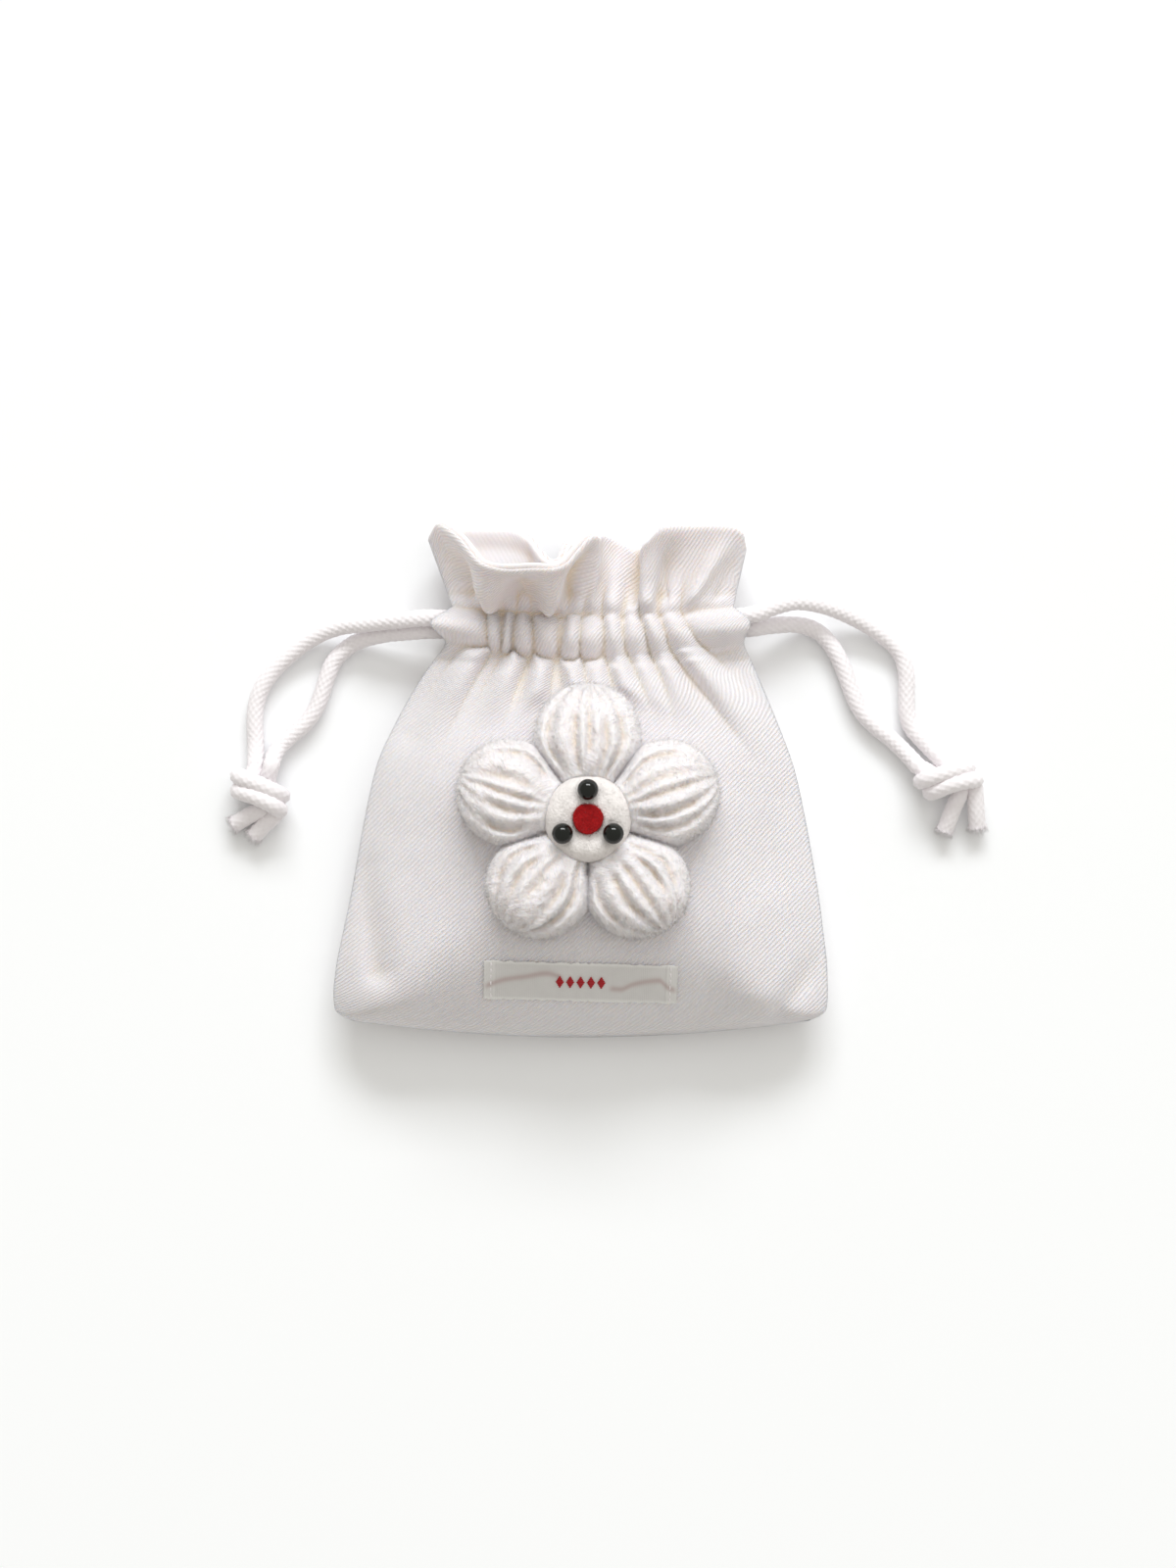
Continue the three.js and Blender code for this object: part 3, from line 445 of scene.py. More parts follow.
def cell_areas(points):
    """The area round each point of a grid."""
    return np.linalg.norm(np.cross(np.gradient(points, axis=1), np.gradient(points, axis=0)), axis=2)


def run_lengths(points, axis):
    """Length run along a grid from its first row or column."""
    steps = np.linalg.norm(np.diff(points, axis=axis), axis=2)
    start = np.zeros_like(np.take(steps, [0], axis=axis))
    return np.cumsum(np.concatenate([start, steps], axis=axis), axis=axis)


def smoothed(values, reach):
    """Values averaged with their neighbours up to a reach away."""
    count = 2 * reach + 1
    return np.convolve(np.pad(values, reach, mode="edge"), np.ones(count) / count, mode="valid")


def cloth_lengths(strip, across):
    """Flat lengths across and along a cloth, even in each row so that the weave runs through its folds."""
    half = smoothed(run_lengths(strip, 1)[:, -1] / 2, LENGTH_REACH)
    along = run_lengths(strip, 0).mean(axis=1)
    return np.stack(np.broadcast_arrays(half[:, None] * across, along[:, None]), axis=-1)


def grid_faces(rows, columns, start=0, closed=False):
    index = start + np.arange(rows * columns).reshape(rows, columns)
    if closed:
        index = np.concatenate([index, index[:, :1]], axis=1)
    corners = (index[:-1, :-1], index[:-1, 1:], index[1:, 1:], index[1:, :-1])
    return np.stack(corners, axis=-1).reshape(-1, 4).tolist()


def tube_faces(rows, columns):
    """Faces of a tube of rings, closed round and shut at both ends."""
    faces = grid_faces(rows, columns, closed=True)
    faces.append(list(range(columns))[::-1])
    faces.append(list(range((rows - 1) * columns, rows * columns)))
    return faces


def joined(pieces):
    """Points and faces of several meshes as one."""
    points, faces = [], []
    start = 0
    for some, more in pieces:
        points.append(some)
        faces += [[k + start for k in face] for face in more]
        start += len(some)
    return np.concatenate(points), faces


# Meshes
def make_mesh(name, points, faces, material, uv=None, painted_shade_and_threads=None, normals=None, inside=None):
    """A smooth mesh, with lengths along the cloth, the share of painted shade in hollows or of loose threads
    on the ribbon, the share of the cloth's reverse, and set normals where given.
    """
    mesh = bpy.data.meshes.new(name)
    mesh.from_pydata(np.asarray(points).reshape(-1, 3).tolist(), [], faces)
    mesh.polygons.foreach_set("use_smooth", np.ones(len(mesh.polygons), dtype=bool))
    if uv is not None:
        corner = np.zeros(len(mesh.loops), dtype=np.int32)
        mesh.loops.foreach_get("vertex_index", corner)
        layer = mesh.uv_layers.new(name="cloth")
        layer.data.foreach_set("uv", np.asarray(uv).reshape(-1, 2)[corner].ravel())
    for label, share in (("painted_shade_and_threads", painted_shade_and_threads), ("inside", inside)):
        if share is not None:
            layer = mesh.attributes.new(label, "FLOAT", "POINT")
            layer.data.foreach_set("value", np.asarray(share, dtype=np.float32).ravel())
    mesh.materials.append(material)
    mesh.update()
    if normals is not None:
        mesh.normals_split_custom_set_from_vertices(np.asarray(normals).reshape(-1, 3).tolist())
    obj = bpy.data.objects.new(name, mesh)
    bpy.context.scene.collection.objects.link(obj)
    return obj


def dress(obj, node):
    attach(obj, "root")
    if node:
        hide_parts(node)
    return obj


def fibres(points, normals, areas, count, length, width, lean, seed, ruffle=0.0):
    """Thin closed spikes for brushed fibres: points, faces, normals and the points that they stand on."""
    rng = np.random.default_rng(seed)
    pick = rng.choice(len(points), count, p=areas / areas.sum())
    root = points[pick] + rng.normal(0, FIBRE["scatter"], (count, 3)) - normals[pick] * FIBRE["sink"]
    stray = rng.normal(0, 1, (count, 3))
    way = normals[pick] * FIBRE["upright"] + stray * lean
    way /= np.linalg.norm(way, axis=1, keepdims=True)
    side = np.cross(way, stray[:, ::-1])
    side /= np.maximum(np.linalg.norm(side, axis=1, keepdims=True), 1e-9)
    other = np.cross(way, side)
    reach = length * rng.uniform(FIBRE["shortest"], 1.0, (count, 1))
    back, spread = side * width * FIBRE["back"], other * width * FIBRE["spread"]
    corners = [root + side * width, root - back + spread, root - back - spread, root + way * reach]
    spikes = np.stack(corners, axis=1).reshape(-1, 3)
    first = 4 * np.arange(count)[:, None]
    faces = [first + np.array(f) for f in ((0, 2, 1), (0, 1, 3), (1, 2, 3), (2, 0, 3))]
    facing = normals[pick] + ruffle * rng.normal(0, 1, (count, 3))
    facing /= np.linalg.norm(facing, axis=1, keepdims=True)
    return spikes, np.concatenate(faces), np.repeat(facing, 4, axis=0), np.repeat(pick, 4)


def brushed(points, normals, shown, seed, settings):
    """Fibres on the shown part of a grid of points."""
    areas = cell_areas(points)[shown].ravel()
    return fibres(points[shown].reshape(-1, 3), normals[shown].reshape(-1, 3), areas, seed=seed, **settings)


# Materials
SCATTER_RADIUS = (1.0, 0.85, 0.7)
# Painted warm shade, mixed into the cloth's colour in its hollows
PAINTED_HOLLOW_SHADE = (0.80, 0.70, 0.58)
# Painted warm shade in the hollows of the fleece's pleats
PAINTED_NAP_SHADE = (0.90, 0.80, 0.67)
SMOOTH_REVERSE = (0.930, 0.886, 0.898)
TWILL_MOTTLE = (0.842, 0.797, 0.812)
RIBBON_DOUBLE = (0.84, 0.825, 0.81)
RIBBON_THREADS = (0.50, 0.385, 0.375)
RIBBON_EDGE = (0.88, 0.87, 0.85)
# A darker and a lighter tone of each material
TONES = {
    # The twill's darker tone is painted shade in the grooves between its ribs
    "twill": ((0.790, 0.743, 0.757), (0.888, 0.842, 0.863)),
    "fleece": ((0.850, 0.808, 0.812), (0.940, 0.901, 0.908)),
    "cord": ((0.895, 0.855, 0.872), (0.950, 0.915, 0.934)),
    "cream_felt": ((0.83, 0.785, 0.765), (0.92, 0.88, 0.86)),
    "red_felt": ((0.24, 0.003, 0.005), (0.46, 0.012, 0.014)),
    "bead": ((0.005, 0.006, 0.005), (0.009, 0.011, 0.009)),
    "ribbon": ((0.66, 0.645, 0.635), (0.74, 0.725, 0.715)),
    "thread": ((0.34, 0.006, 0.012), (0.52, 0.014, 0.022)),
    "floor": ((0.94, 0.95, 0.965), (0.95, 0.96, 0.975)),
}


class Shader:
    """The nodes of one material, each made by a short call."""

    def __init__(self, name, roughness, sheen=0.0, specular=0.3, scatter=0.0, depth=0.001):
        self.material = bpy.data.materials.new(name)
        self.material.use_nodes = True
        self.tree = self.material.node_tree
        self.surface = self.tree.nodes["Principled BSDF"]
        self.surface.inputs["Roughness"].default_value = roughness
        self.surface.inputs["Specular IOR Level"].default_value = specular
        self.surface.inputs["Sheen Weight"].default_value = sheen
        self.surface.inputs["Sheen Roughness"].default_value = 0.5
        self.surface.inputs["Subsurface Weight"].default_value = scatter
        self.surface.inputs["Subsurface Radius"].default_value = SCATTER_RADIUS
        self.surface.inputs["Subsurface Scale"].default_value = depth

    def put(self, socket, value):
        if isinstance(value, bpy.types.NodeSocket):
            self.tree.links.new(value, socket)
        else:
            socket.default_value = value

    def math(self, operation, first, second=0.0):
        node = self.tree.nodes.new("ShaderNodeMath")
        node.operation = operation
        self.put(node.inputs[0], first)
        self.put(node.inputs[1], second)
        return node.outputs[0]

    def times(self, first, second):
        return self.math("MULTIPLY", first, second)

    def plus(self, first, second):
        return self.math("ADD", first, second)

    def minus(self, first, second):
        return self.math("SUBTRACT", first, second)

    def uv(self):
        """The two lengths along the cloth, in metres."""
        node = self.tree.nodes.new("ShaderNodeUVMap")
        node.uv_map = "cloth"
        split = self.tree.nodes.new("ShaderNodeSeparateXYZ")
        self.put(split.inputs[0], node.outputs[0])
        return node.outputs[0], split.outputs[0], split.outputs[1]

    def share(self, name):
        """The share of a second look that the mesh holds at each point."""
        node = self.tree.nodes.new("ShaderNodeAttribute")
        node.attribute_name = name
        return node.outputs["Fac"]

    def place(self):
        node = self.tree.nodes.new("ShaderNodeTexCoord")
        return node.outputs["Object"]

    def stretched(self, vector, scale):
        node = self.tree.nodes.new("ShaderNodeMapping")
        self.put(node.inputs["Vector"], vector)
        node.inputs["Scale"].default_value = scale
        return node.outputs[0]

    def noise(self, vector, scale, detail=2.0):
        node = self.tree.nodes.new("ShaderNodeTexNoise")
        self.put(node.inputs["Vector"], vector)
        node.inputs["Scale"].default_value = scale
        node.inputs["Detail"].default_value = detail
        return node.outputs[0]

    def mix(self, share, first, second):
        node = self.tree.nodes.new("ShaderNodeMix")
        node.data_type = "RGBA"
        self.put(node.inputs[0], share)
        self.put(node.inputs[6], (*first, 1.0) if isinstance(first, tuple) else first)
        self.put(node.inputs[7], (*second, 1.0) if isinstance(second, tuple) else second)
        return node.outputs[2]

    def wave(self, phase):
        """A ridge from 0 to 1 for each whole step of the phase."""
        turn = self.math("SINE", self.times(phase, 2 * math.pi))
        return self.plus(self.times(turn, 0.5), 0.5)

    def bump(self, height, strength, distance):
        node = self.tree.nodes.new("ShaderNodeBump")
        node.inputs["Strength"].default_value = strength
        node.inputs["Distance"].default_value = distance
        self.put(node.inputs["Height"], height)
        self.put(self.surface.inputs["Normal"], node.outputs[0])

    def colour(self, value):
        self.put(self.surface.inputs["Base Color"], value)


def twill_material():
    """Off-white cotton with the diagonal ribs of twill, smooth on its reverse, with painted shade in the
    grooves between its ribs and painted warm shade in its hollows.
    """
    shader = Shader("twill_cloth", roughness=0.78, sheen=0.12, specular=0.28, scatter=0.7, depth=0.0025)
    vector, u, v = shader.uv()
    rise, run = math.sin(TWILL_ANGLE), math.cos(TWILL_ANGLE)
    wander = shader.times(shader.minus(shader.noise(vector, scale=260), 0.5), 0.5)
    cross = shader.minus(shader.times(v, run / TWILL_PITCH), shader.times(u, rise / TWILL_PITCH))
    phase = shader.plus(cross, wander)
    along = shader.plus(shader.times(u, run / YARN_PITCH), shader.times(v, rise / YARN_PITCH))
    shifted = shader.plus(along, shader.times(shader.math("FLOOR", phase), YARN_SHIFT))
    rib = shader.wave(phase)
    yarn = shader.wave(shifted)
    height = shader.times(rib, shader.plus(shader.times(yarn, 1 - YARN_LEAST), YARN_LEAST))
    fuzz = shader.times(shader.noise(vector, scale=2600), 0.25)
    outside = shader.minus(1.0, shader.times(shader.share("inside"), 0.8))
    shader.bump(shader.plus(shader.times(height, outside), fuzz), strength=0.9, distance=0.00030)
    # The grooves between the ribs are painted darker: painted shade that follows the ribs' bump
    tone = shader.mix(rib, *TONES["twill"])
    mottled = shader.mix(shader.times(shader.noise(vector, scale=45), 0.35), tone, TWILL_MOTTLE)
    reverse = shader.mix(shader.times(shader.share("inside"), 0.85), mottled, SMOOTH_REVERSE)
    # Painted warm shade in the cloth's hollows, by how deep each point lies
    shader.colour(shader.mix(shader.times(shader.share("painted_shade_and_threads"), 0.7), reverse, PAINTED_HOLLOW_SHADE))
    return shader.material


def fleece_material(name, scatter):
    """White brushed fleece with fibres combed along the pleats; light travels through its nap, and painted
    warm shade lies in its pleats' hollows.
    """
    shader = Shader(name, roughness=0.95, sheen=0.25, specular=0.1, scatter=scatter, depth=0.0035)
    vector = shader.uv()[0]
    combed = shader.noise(shader.stretched(vector, (1.0, 0.3, 1.0)), scale=1100, detail=4.0)
    clumps = shader.noise(vector, scale=420, detail=3.0)
    shader.bump(shader.plus(combed, clumps), strength=0.8, distance=0.0008)
    tone = shader.mix(combed, *TONES["fleece"])
    # Painted warm shade in the hollows of the pleats
    shader.colour(shader.mix(shader.share("painted_shade_and_threads"), tone, PAINTED_NAP_SHADE))
    return shader.material


def felt_material(name):
    """Pressed felt with a matted, speckled face."""
    shader = Shader(name, roughness=0.96, sheen=0.2, specular=0.1)
    place = shader.place()
    matted = shader.noise(place, scale=1400, detail=5.0)
    lumps = shader.noise(place, scale=300, detail=3.0)
    shader.bump(shader.plus(matted, lumps), strength=0.7, distance=0.0005)
    shader.colour(shader.mix(matted, *TONES[name]))
    return shader.material


def cord_material():
    """Soft white cotton yarn."""
    shader = Shader("cotton_braid", roughness=0.9, sheen=0.15, specular=0.2)
    place = shader.place()
    shader.bump(shader.noise(place, scale=3200, detail=3.0), strength=0.5, distance=0.0002)
    shader.colour(shader.mix(shader.noise(place, scale=700), *TONES["cord"]))
    return shader.material


def bead_material():
    """Polished black with faint handling marks."""
    shader = Shader("polished_bead", roughness=0.1, specular=0.4)
    marks = shader.noise(shader.place(), scale=900, detail=4.0)
    shader.put(shader.surface.inputs["Roughness"], shader.plus(shader.times(marks, 0.1), 0.05))
    shader.colour(shader.mix(marks, *TONES["bead"]))
    shader.bump(marks, strength=0.05, distance=0.00005)
    return shader.material


def ribbon_material():
    """Thin greyish satin ribbon with paler woven edges, double ends and loose pinkish threads under it."""
    shader = Shader("satin_ribbon", roughness=0.5, sheen=0.1, specular=0.4)
    vector, u, v = shader.uv()
    from_edge = shader.minus(LABEL["height"] / 2, shader.math("ABSOLUTE", v))
    edge = shader.minus(1.0, shader.times(from_edge, 1 / RIBBON_EDGE_WIDTH))
    double = shader.math("GREATER_THAN", shader.math("ABSOLUTE", u), LABEL["width"] / 2 - LABEL["fold"])
    tone = shader.mix(shader.noise(vector, scale=240), *TONES["ribbon"])
    ended = shader.mix(shader.times(double, 0.4), tone, RIBBON_DOUBLE)
    threaded = shader.mix(shader.times(shader.share("painted_shade_and_threads"), 0.75), ended, RIBBON_THREADS)
    shader.colour(shader.mix(shader.math("MAXIMUM", edge, 0.0), threaded, RIBBON_EDGE))
    weft = shader.wave(shader.times(u, 1 / WEFT_PITCH))
    warp = shader.wave(shader.times(v, 1 / WARP_PITCH))
    shader.bump(shader.plus(weft, warp), strength=0.35, distance=0.0001)
    return shader.material


def thread_material():
    """Red embroidery thread."""
    shader = Shader("red_thread", roughness=0.6, sheen=0.1, specular=0.3)
    twist = shader.noise(shader.place(), scale=4000)
    shader.bump(twist, strength=0.4, distance=0.0001)
    shader.colour(shader.mix(twist, *TONES["thread"]))
    return shader.material


def floor_material():
    shader = Shader("pale_floor", roughness=0.95, specular=0.05)
    shader.colour(shader.mix(shader.noise(shader.place(), scale=3.0), *TONES["floor"]))
    return shader.material


# The pouch's cloth
SECTION_PLACES = np.arange(len(SECTIONS), dtype=float)


def seam_opening(y):
    """Half the opening of a side seam: sewn shut but for a lens that lets the cords out."""
    from_middle = (y - CORD_SLOT["middle"]) / CORD_SLOT["reach"]
    return SEAM_SLOT + CORD_SLOT["half"] * np.maximum(0, 1 - from_middle**2)


def section(place):
    """Every column of the section table at places between its rows."""
    return {name: smooth_column(SECTION_PLACES, column(SECTIONS, SECTION_COLUMNS, name), place)
            for name in SECTION_COLUMNS}


def section_y(row, t):
    return row["mid_y"] + (row["end_y"] - row["mid_y"]) * t * t


def plan(t, place):
    """The section at places along the pouch, with x and y there."""
    row = section(place)
    return row, row["shift"] + row["half"] * t, section_y(row, t)


def bottom_rise(distance, t):
    """How high the stuffed front can stand at a distance from the bottom seam, more freely at its sides."""
    distance = np.maximum(distance, 0)
    freer = smooth_step(BOTTOM["from"], BOTTOM["to"], np.abs(t))
    slope = BOTTOM["slope"] * (1 + BOTTOM["sides"] * freer)
    return slope * distance + BOTTOM["roll"] * (1 - np.exp(-distance / BOTTOM["run"]))


def soft_least(first, second):
    """The lesser of two heights, with a rounded crest where they meet."""
    first, second = np.maximum(first, 1e-9), np.maximum(second, 1e-9)
    power = BOTTOM["crest"]
    return (first**-power + second**-power) ** (-1 / power)


def casing_ribs(x, share):
    """Height of the casing's rounded ribs at a share of its height, some with a hollow open between them."""
    creases = []
    for number, (top, bottom, height, gap_top, gap_bottom) in enumerate(CASING_CREASES):
        bend = CREASE_BEND * math.sin(CREASE_STAGGER * number) * np.sin(math.pi * share)
        gap = gap_bottom + (gap_top - gap_bottom) * share
        creases.append((bottom + (top - bottom) * share + bend, gap, height))
    relief = np.zeros_like(x)
    for (left, left_gap, height), (right, right_gap, _) in zip(creases[:-1], creases[1:]):
        low, high = left + left_gap, right - right_gap
        local = (2 * x - low - high) / (high - low)
        crown = np.maximum(0, 1 - np.abs(local) ** RIB_SHAPE["flat"]) ** RIB_SHAPE["round"]
        relief = np.maximum(relief, height * crown)
    (first, first_gap, _), (last, last_gap, height) = creases[0], creases[-1]
    beyond = np.maximum(first - first_gap - x, x - last - last_gap)
    return np.maximum(relief, height * (1 - np.exp(-np.maximum(0, beyond) / RIB_SHAPE["end_run"])))


def stitch_crimp(x, share):
    """How far a row of stitches is drawn into the casing at the creases between its ribs."""
    return STITCH_CRIMP * (1 - np.minimum(1, casing_ribs(x, np.full_like(x, share)) / RIB_HEIGHT))


def fold_relief(x, y):
    """Folds that run down from the casing, rounded on top and meeting in sharp creases."""
    total = np.zeros_like(x)
    for from_x, from_y, to_x, to_y, width, height in FOLDS:
        run_x, run_y = to_x - from_x, to_y - from_y
        span = math.hypot(run_x, run_y)
        share = np.clip(((x - from_x) * run_x + (y - from_y) * run_y) / span**2, 0, 1)
        distance = ((x - from_x) * run_y - (y - from_y) * run_x) / span
        spread = distance / (width * (1 + FOLD_SHAPE["spread"] * share))
        fold = height * np.maximum(0, 1 - spread**2) * (1 - smooth_step(FOLD_SHAPE["fade"], 1, share))
        total += (fold / FOLD_SHAPE["unit"]) ** FOLD_SHAPE["meet"]
    return FOLD_SHAPE["unit"] * total ** (1 / FOLD_SHAPE["meet"])


def gather_relief(t, place):
    """Height of the casing's ribs and the folds below it on the front; to the right they run together."""
    _, x, y = plan(t, place)
    joined = smooth_step(*JOINED, x)
    lower = section_y(section(np.full_like(place, LOWER_STITCH)), t) + stitch_crimp(x, 0) * (1 - joined)
    below = np.maximum(0, lower - y)
    share = np.clip((place - LOWER_STITCH) / (UPPER_STITCH - LOWER_STITCH), 0, 1)
    pinch = RIB_PINCH + (RIB_JOINED - RIB_PINCH) * joined
    pillow = pinch + (1 - pinch) * np.sin(math.pi * share) ** GATHER["pillow"]
    ribs = casing_ribs(x, share) * pillow * (1 - smooth_step(0, GATHER["rib_end"], below))
    opened = np.sqrt(1 - (1 - np.clip(below / FOLD_TIP, 0, 1)) ** 2)
    opened = np.maximum(opened, GATHER["open"] * joined) * (1 - smooth_step(0, GATHER["fold_end"], share))
    from_rim = np.hypot(x - FLOWER["x"], y - FLOWER["y"])
    pressed = smooth_step(FLOWER["reach"] - PRESSED["inside"], FLOWER["reach"] + PRESSED["outside"], from_rim)
    return np.maximum(ribs, fold_relief(x, y) * opened * pressed)


def crease_relief(x, y):
    height = np.zeros_like(x)
    for from_x, from_y, to_x, to_y, width, rise in CREASES:
        run_x, run_y = to_x - from_x, to_y - from_y
        share = ((x - from_x) * run_x + (y - from_y) * run_y) / (run_x**2 + run_y**2)
        share = np.clip(share, 0, 1)
        distance = np.hypot(x - from_x - run_x * share, y - from_y - run_y * share)
        height += rise * bell(distance, width)
    return height


def stitch_relief(t, place):
    """The groove that each row of stitches pulls into the front."""
    _, x, y = plan(t, place)
    joined = smooth_step(*JOINED, x)
    rows = ((LOWER_STITCH, 1 - GROOVE["lower_loss"] * joined, stitch_crimp(x, 0)),
            (UPPER_STITCH, 1 - GROOVE["upper_loss"] * joined, -stitch_crimp(x, 1)))
    groove = np.zeros_like(y)
    for stitch_row, share, drawn in rows:
        away = y - drawn - section_y(section(np.full_like(place, stitch_row)), t)
        groove -= GROOVE["depth"] * share * bell(away, GROOVE["width"])
    return groove


def body_point(side, t, place, gathered=True):
    """Outer points of the front or back, across from -1 to 1 and along the sections."""
    row, x, y = plan(t, place)
    edge = row["seam"] + side * seam_opening(row["end_y"])
    if side < 0:
        past = np.maximum(0, np.abs(t) - BACK_FLAT["share"]) / (1 - BACK_FLAT["share"])
        return np.stack([x, y, edge + (row["back"] - edge) * (1 - past ** BACK_FLAT["power"])], axis=-1)
    dome = np.maximum(0, 1 - np.abs(t) ** FRONT_DOME["power"]) ** FRONT_DOME["lift"]
    from_seam = y - section_y(section(np.zeros_like(place)), t)
    level = soft_least((row["front"] - edge) * dome, bottom_rise(from_seam, t))
    gathers = gather_relief(t, place) * np.minimum(1, place / GATHER_START) if gathered else 0
    ripples = sum(height * soft_noise(x, y, size, seed) for height, size, seed in RIPPLES)
    relief = gathers + crease_relief(x, y) + stitch_relief(t, place) + ripples
    fade = (1 - np.abs(t) ** SEAM_FADE) * np.minimum(1, place)
    return np.stack([x, y, edge + level + relief * fade], axis=-1)


def frill_point(side, t, share):
    """Outer points of the frill, from its stitch line at share 0 to its rim at share 1."""
    table = FRONT_FRILL if side > 0 else BACK_FRILL
    at, *others = (column(table, FRILL_COLUMNS, name) for name in FRILL_COLUMNS)
    drift, rise, lift = (smooth_column(at, values, t) for values in others)
    place = np.full_like(t, UPPER_STITCH)
    base = body_point(side, t, place)
    end_y = section(place)["end_y"]
    fade = 1 - np.abs(t) ** SEAM_FADE
    closing = side * (seam_opening(end_y) - seam_opening(end_y + rise * share)) * np.abs(t) ** SEAM_FADE
    flattening = np.zeros_like(t)
    if side > 0:
        ribs = gather_relief(t, place) * fade
        groove = stitch_relief(t, place) * fade
        flattening = ribs * (1 - bell(share, FLATTENS["ribs"]))
        flattening += groove * (1 - bell(share, FLATTENS["groove"]))
    x = base[..., 0] + drift * share
    y = base[..., 1] + rise * share
    z = base[..., 2] + lift * share - closing - flattening
    return np.stack([x, y, z], axis=-1)


def pleat_relief(t, share):
    """How far the front frill's pleats stand out of it."""
    height = np.zeros_like(t)
    for at_stitch, at_rim, rise, width in FRILL_PLEATS:
        middle = at_stitch + (at_rim - at_stitch) * share
        height += rise * bell(t - middle, width * (PLEAT["narrow"] + PLEAT["widening"] * share))
    ends = 1 - PLEAT["rim_loss"] * smooth_step(PLEAT["rim_from"], 1, share)
    window = smooth_step(0, PLEAT["full_at"], share) * ends
    return height * window * (1 - np.abs(t) ** SEAM_FADE)


def across_places(columns):
    even = np.linspace(-1, 1, columns)
    return 0.5 * even + 0.5 * np.sin(even * math.pi / 2)


def even_places(side, rows):
    """Places along the sections that are evenly spaced on the cloth's middle line, closer at the gathers."""
    fine = np.linspace(0, UPPER_STITCH, CLOSER["steps"])
    row = section(fine)
    level = row["front"] if side > 0 else row["back"]
    steps = np.hypot(np.diff(row["mid_y"]), np.diff(level))
    closer = 1 + CLOSER["by"] * smooth_step(CLOSER["from"], CLOSER["to"], row["mid_y"][1:]) * (side > 0)
    run = np.concatenate([[0], np.cumsum(steps * closer)])
    return np.interp(np.linspace(0, run[-1], rows), run, fine)


def rolled_rim(outer, inner):
    """Rows of points that roll over the rim, with a crease between its two layers of cloth."""
    upward = outer[-1] - outer[-3]
    upward /= np.linalg.norm(upward, axis=1, keepdims=True)
    roll = []
    for part in np.linspace(0, 1, ROLL["steps"])[1:-1]:
        swell = ROLL["swell"] * abs(math.sin(2 * math.pi * part)) ** ROLL["round"]
        roll.append(outer[-1] + (inner[-1] - outer[-1]) * part + upward * swell)
    return np.stack(roll)


def wall_faces(rows, count, columns):
    """Faces of a cloth wall's strip, joined along its bottom and shut at its two sides."""
    faces = grid_faces(count, columns)
    index = np.arange(count * columns).reshape(count, columns)
    faces += np.stack([index[-1, :-1], index[-1, 1:], index[0, 1:], index[0, :-1]], axis=-1).tolist()
    for edge, order in ((index[:, 0].tolist(), 1), (index[:, -1].tolist(), -1)):
        for j in range(rows - 1):
            faces.append([edge[j], edge[j + 1], edge[count - 2 - j], edge[count - 1 - j]][::order])
        faces.append(edge[rows - 1: count - rows + 1][::order])
    return faces


def panel(name, side, grid, material):
    """One cloth wall, from its bottom seam up to a rolled rim and down its inside again."""
    across = across_places(grid["columns"])
    t, place = np.meshgrid(across, even_places(side, grid["rows"]))
    body = body_point(side, t, place)
    t, share = np.meshgrid(across, np.linspace(0, 1, grid["frill"] + 1)[1:])
    outer = np.concatenate([body, frill_point(side, t, share)])
    rows, columns = outer.shape[:2]
    frill = slice(grid["rows"], None)
    if side > 0:
        outer[frill] += grid_normals(softened(outer, WALL_ROUNDS))[frill] * pleat_relief(t, share)[..., None]
    outward = grid_normals(softened(outer, WALL_ROUNDS)) * side
    outward[:, 0] = (-1, 0, 0)
    outward[:, -1] = (1, 0, 0)
    outward[0] = (0, -1, 0)
    depth = np.full(rows, CLOTH)
    depth[frill] += (RIM_CLOTH - CLOTH) * smooth_step(RIM_FROM, 1, share[:, 0])
    inner = outer - outward * depth[:, None, None]
    roll = rolled_rim(outer, inner)
    strip = np.concatenate([outer, roll, inner[::-1]])
    count = len(strip)
    # How deep each point lies in a hollow: the share of painted warm shade in the cloth's colour
    deep = hollows(strip, grid_normals(strip) * side, **CLOTH_SHADE_HOLLOWS)
    inside = np.repeat(np.arange(count) > rows + len(roll) / 2, columns)
    lengths = cloth_lengths(strip, across)
    return make_mesh(name, strip, wall_faces(rows, count, columns), material, lengths, deep, inside=inside)


def front_height(x, y):
    """Height of the front's outside above points of the floor plan."""
    low = np.zeros_like(x)
    high = np.full_like(x, UPPER_STITCH)
    for _ in range(HALVINGS):
        middle = (low + high) / 2
        row = section(middle)
        t = np.clip((x - row["shift"]) / row["half"], -1, 1)
        under = section_y(row, t) < y
        low = np.where(under, middle, low)
        high = np.where(under, high, middle)
    row = section(low)
    t = np.clip((x - row["shift"]) / row["half"], -1, 1)
    return body_point(1, t, low, gathered=False)[..., 2]


# The flower
def petal_opening(share):
    return np.sin(np.clip(share / PETAL_WIDEST, 0, 1) * math.pi / 2)


def petal_tip(share, power):
    past = np.clip((share - PETAL_WIDEST) / (1 - PETAL_WIDEST), 0, 1)
    return np.sqrt(np.maximum(0, 1 - past**power))


def petal_half(share):
    opening = petal_opening(share) ** PETAL_OPENS
    inside = FLOWER["base"] + (FLOWER["half"] - FLOWER["base"]) * opening
    return np.where(share < PETAL_WIDEST, inside, FLOWER["half"] * petal_tip(share, PETAL_TIP["plan"]))


def petal_fullness(share):
    inside = PETAL_NECK + (1 - PETAL_NECK) * petal_opening(share)
    return np.where(share < PETAL_WIDEST, inside, petal_tip(share, PETAL_TIP["height"]))


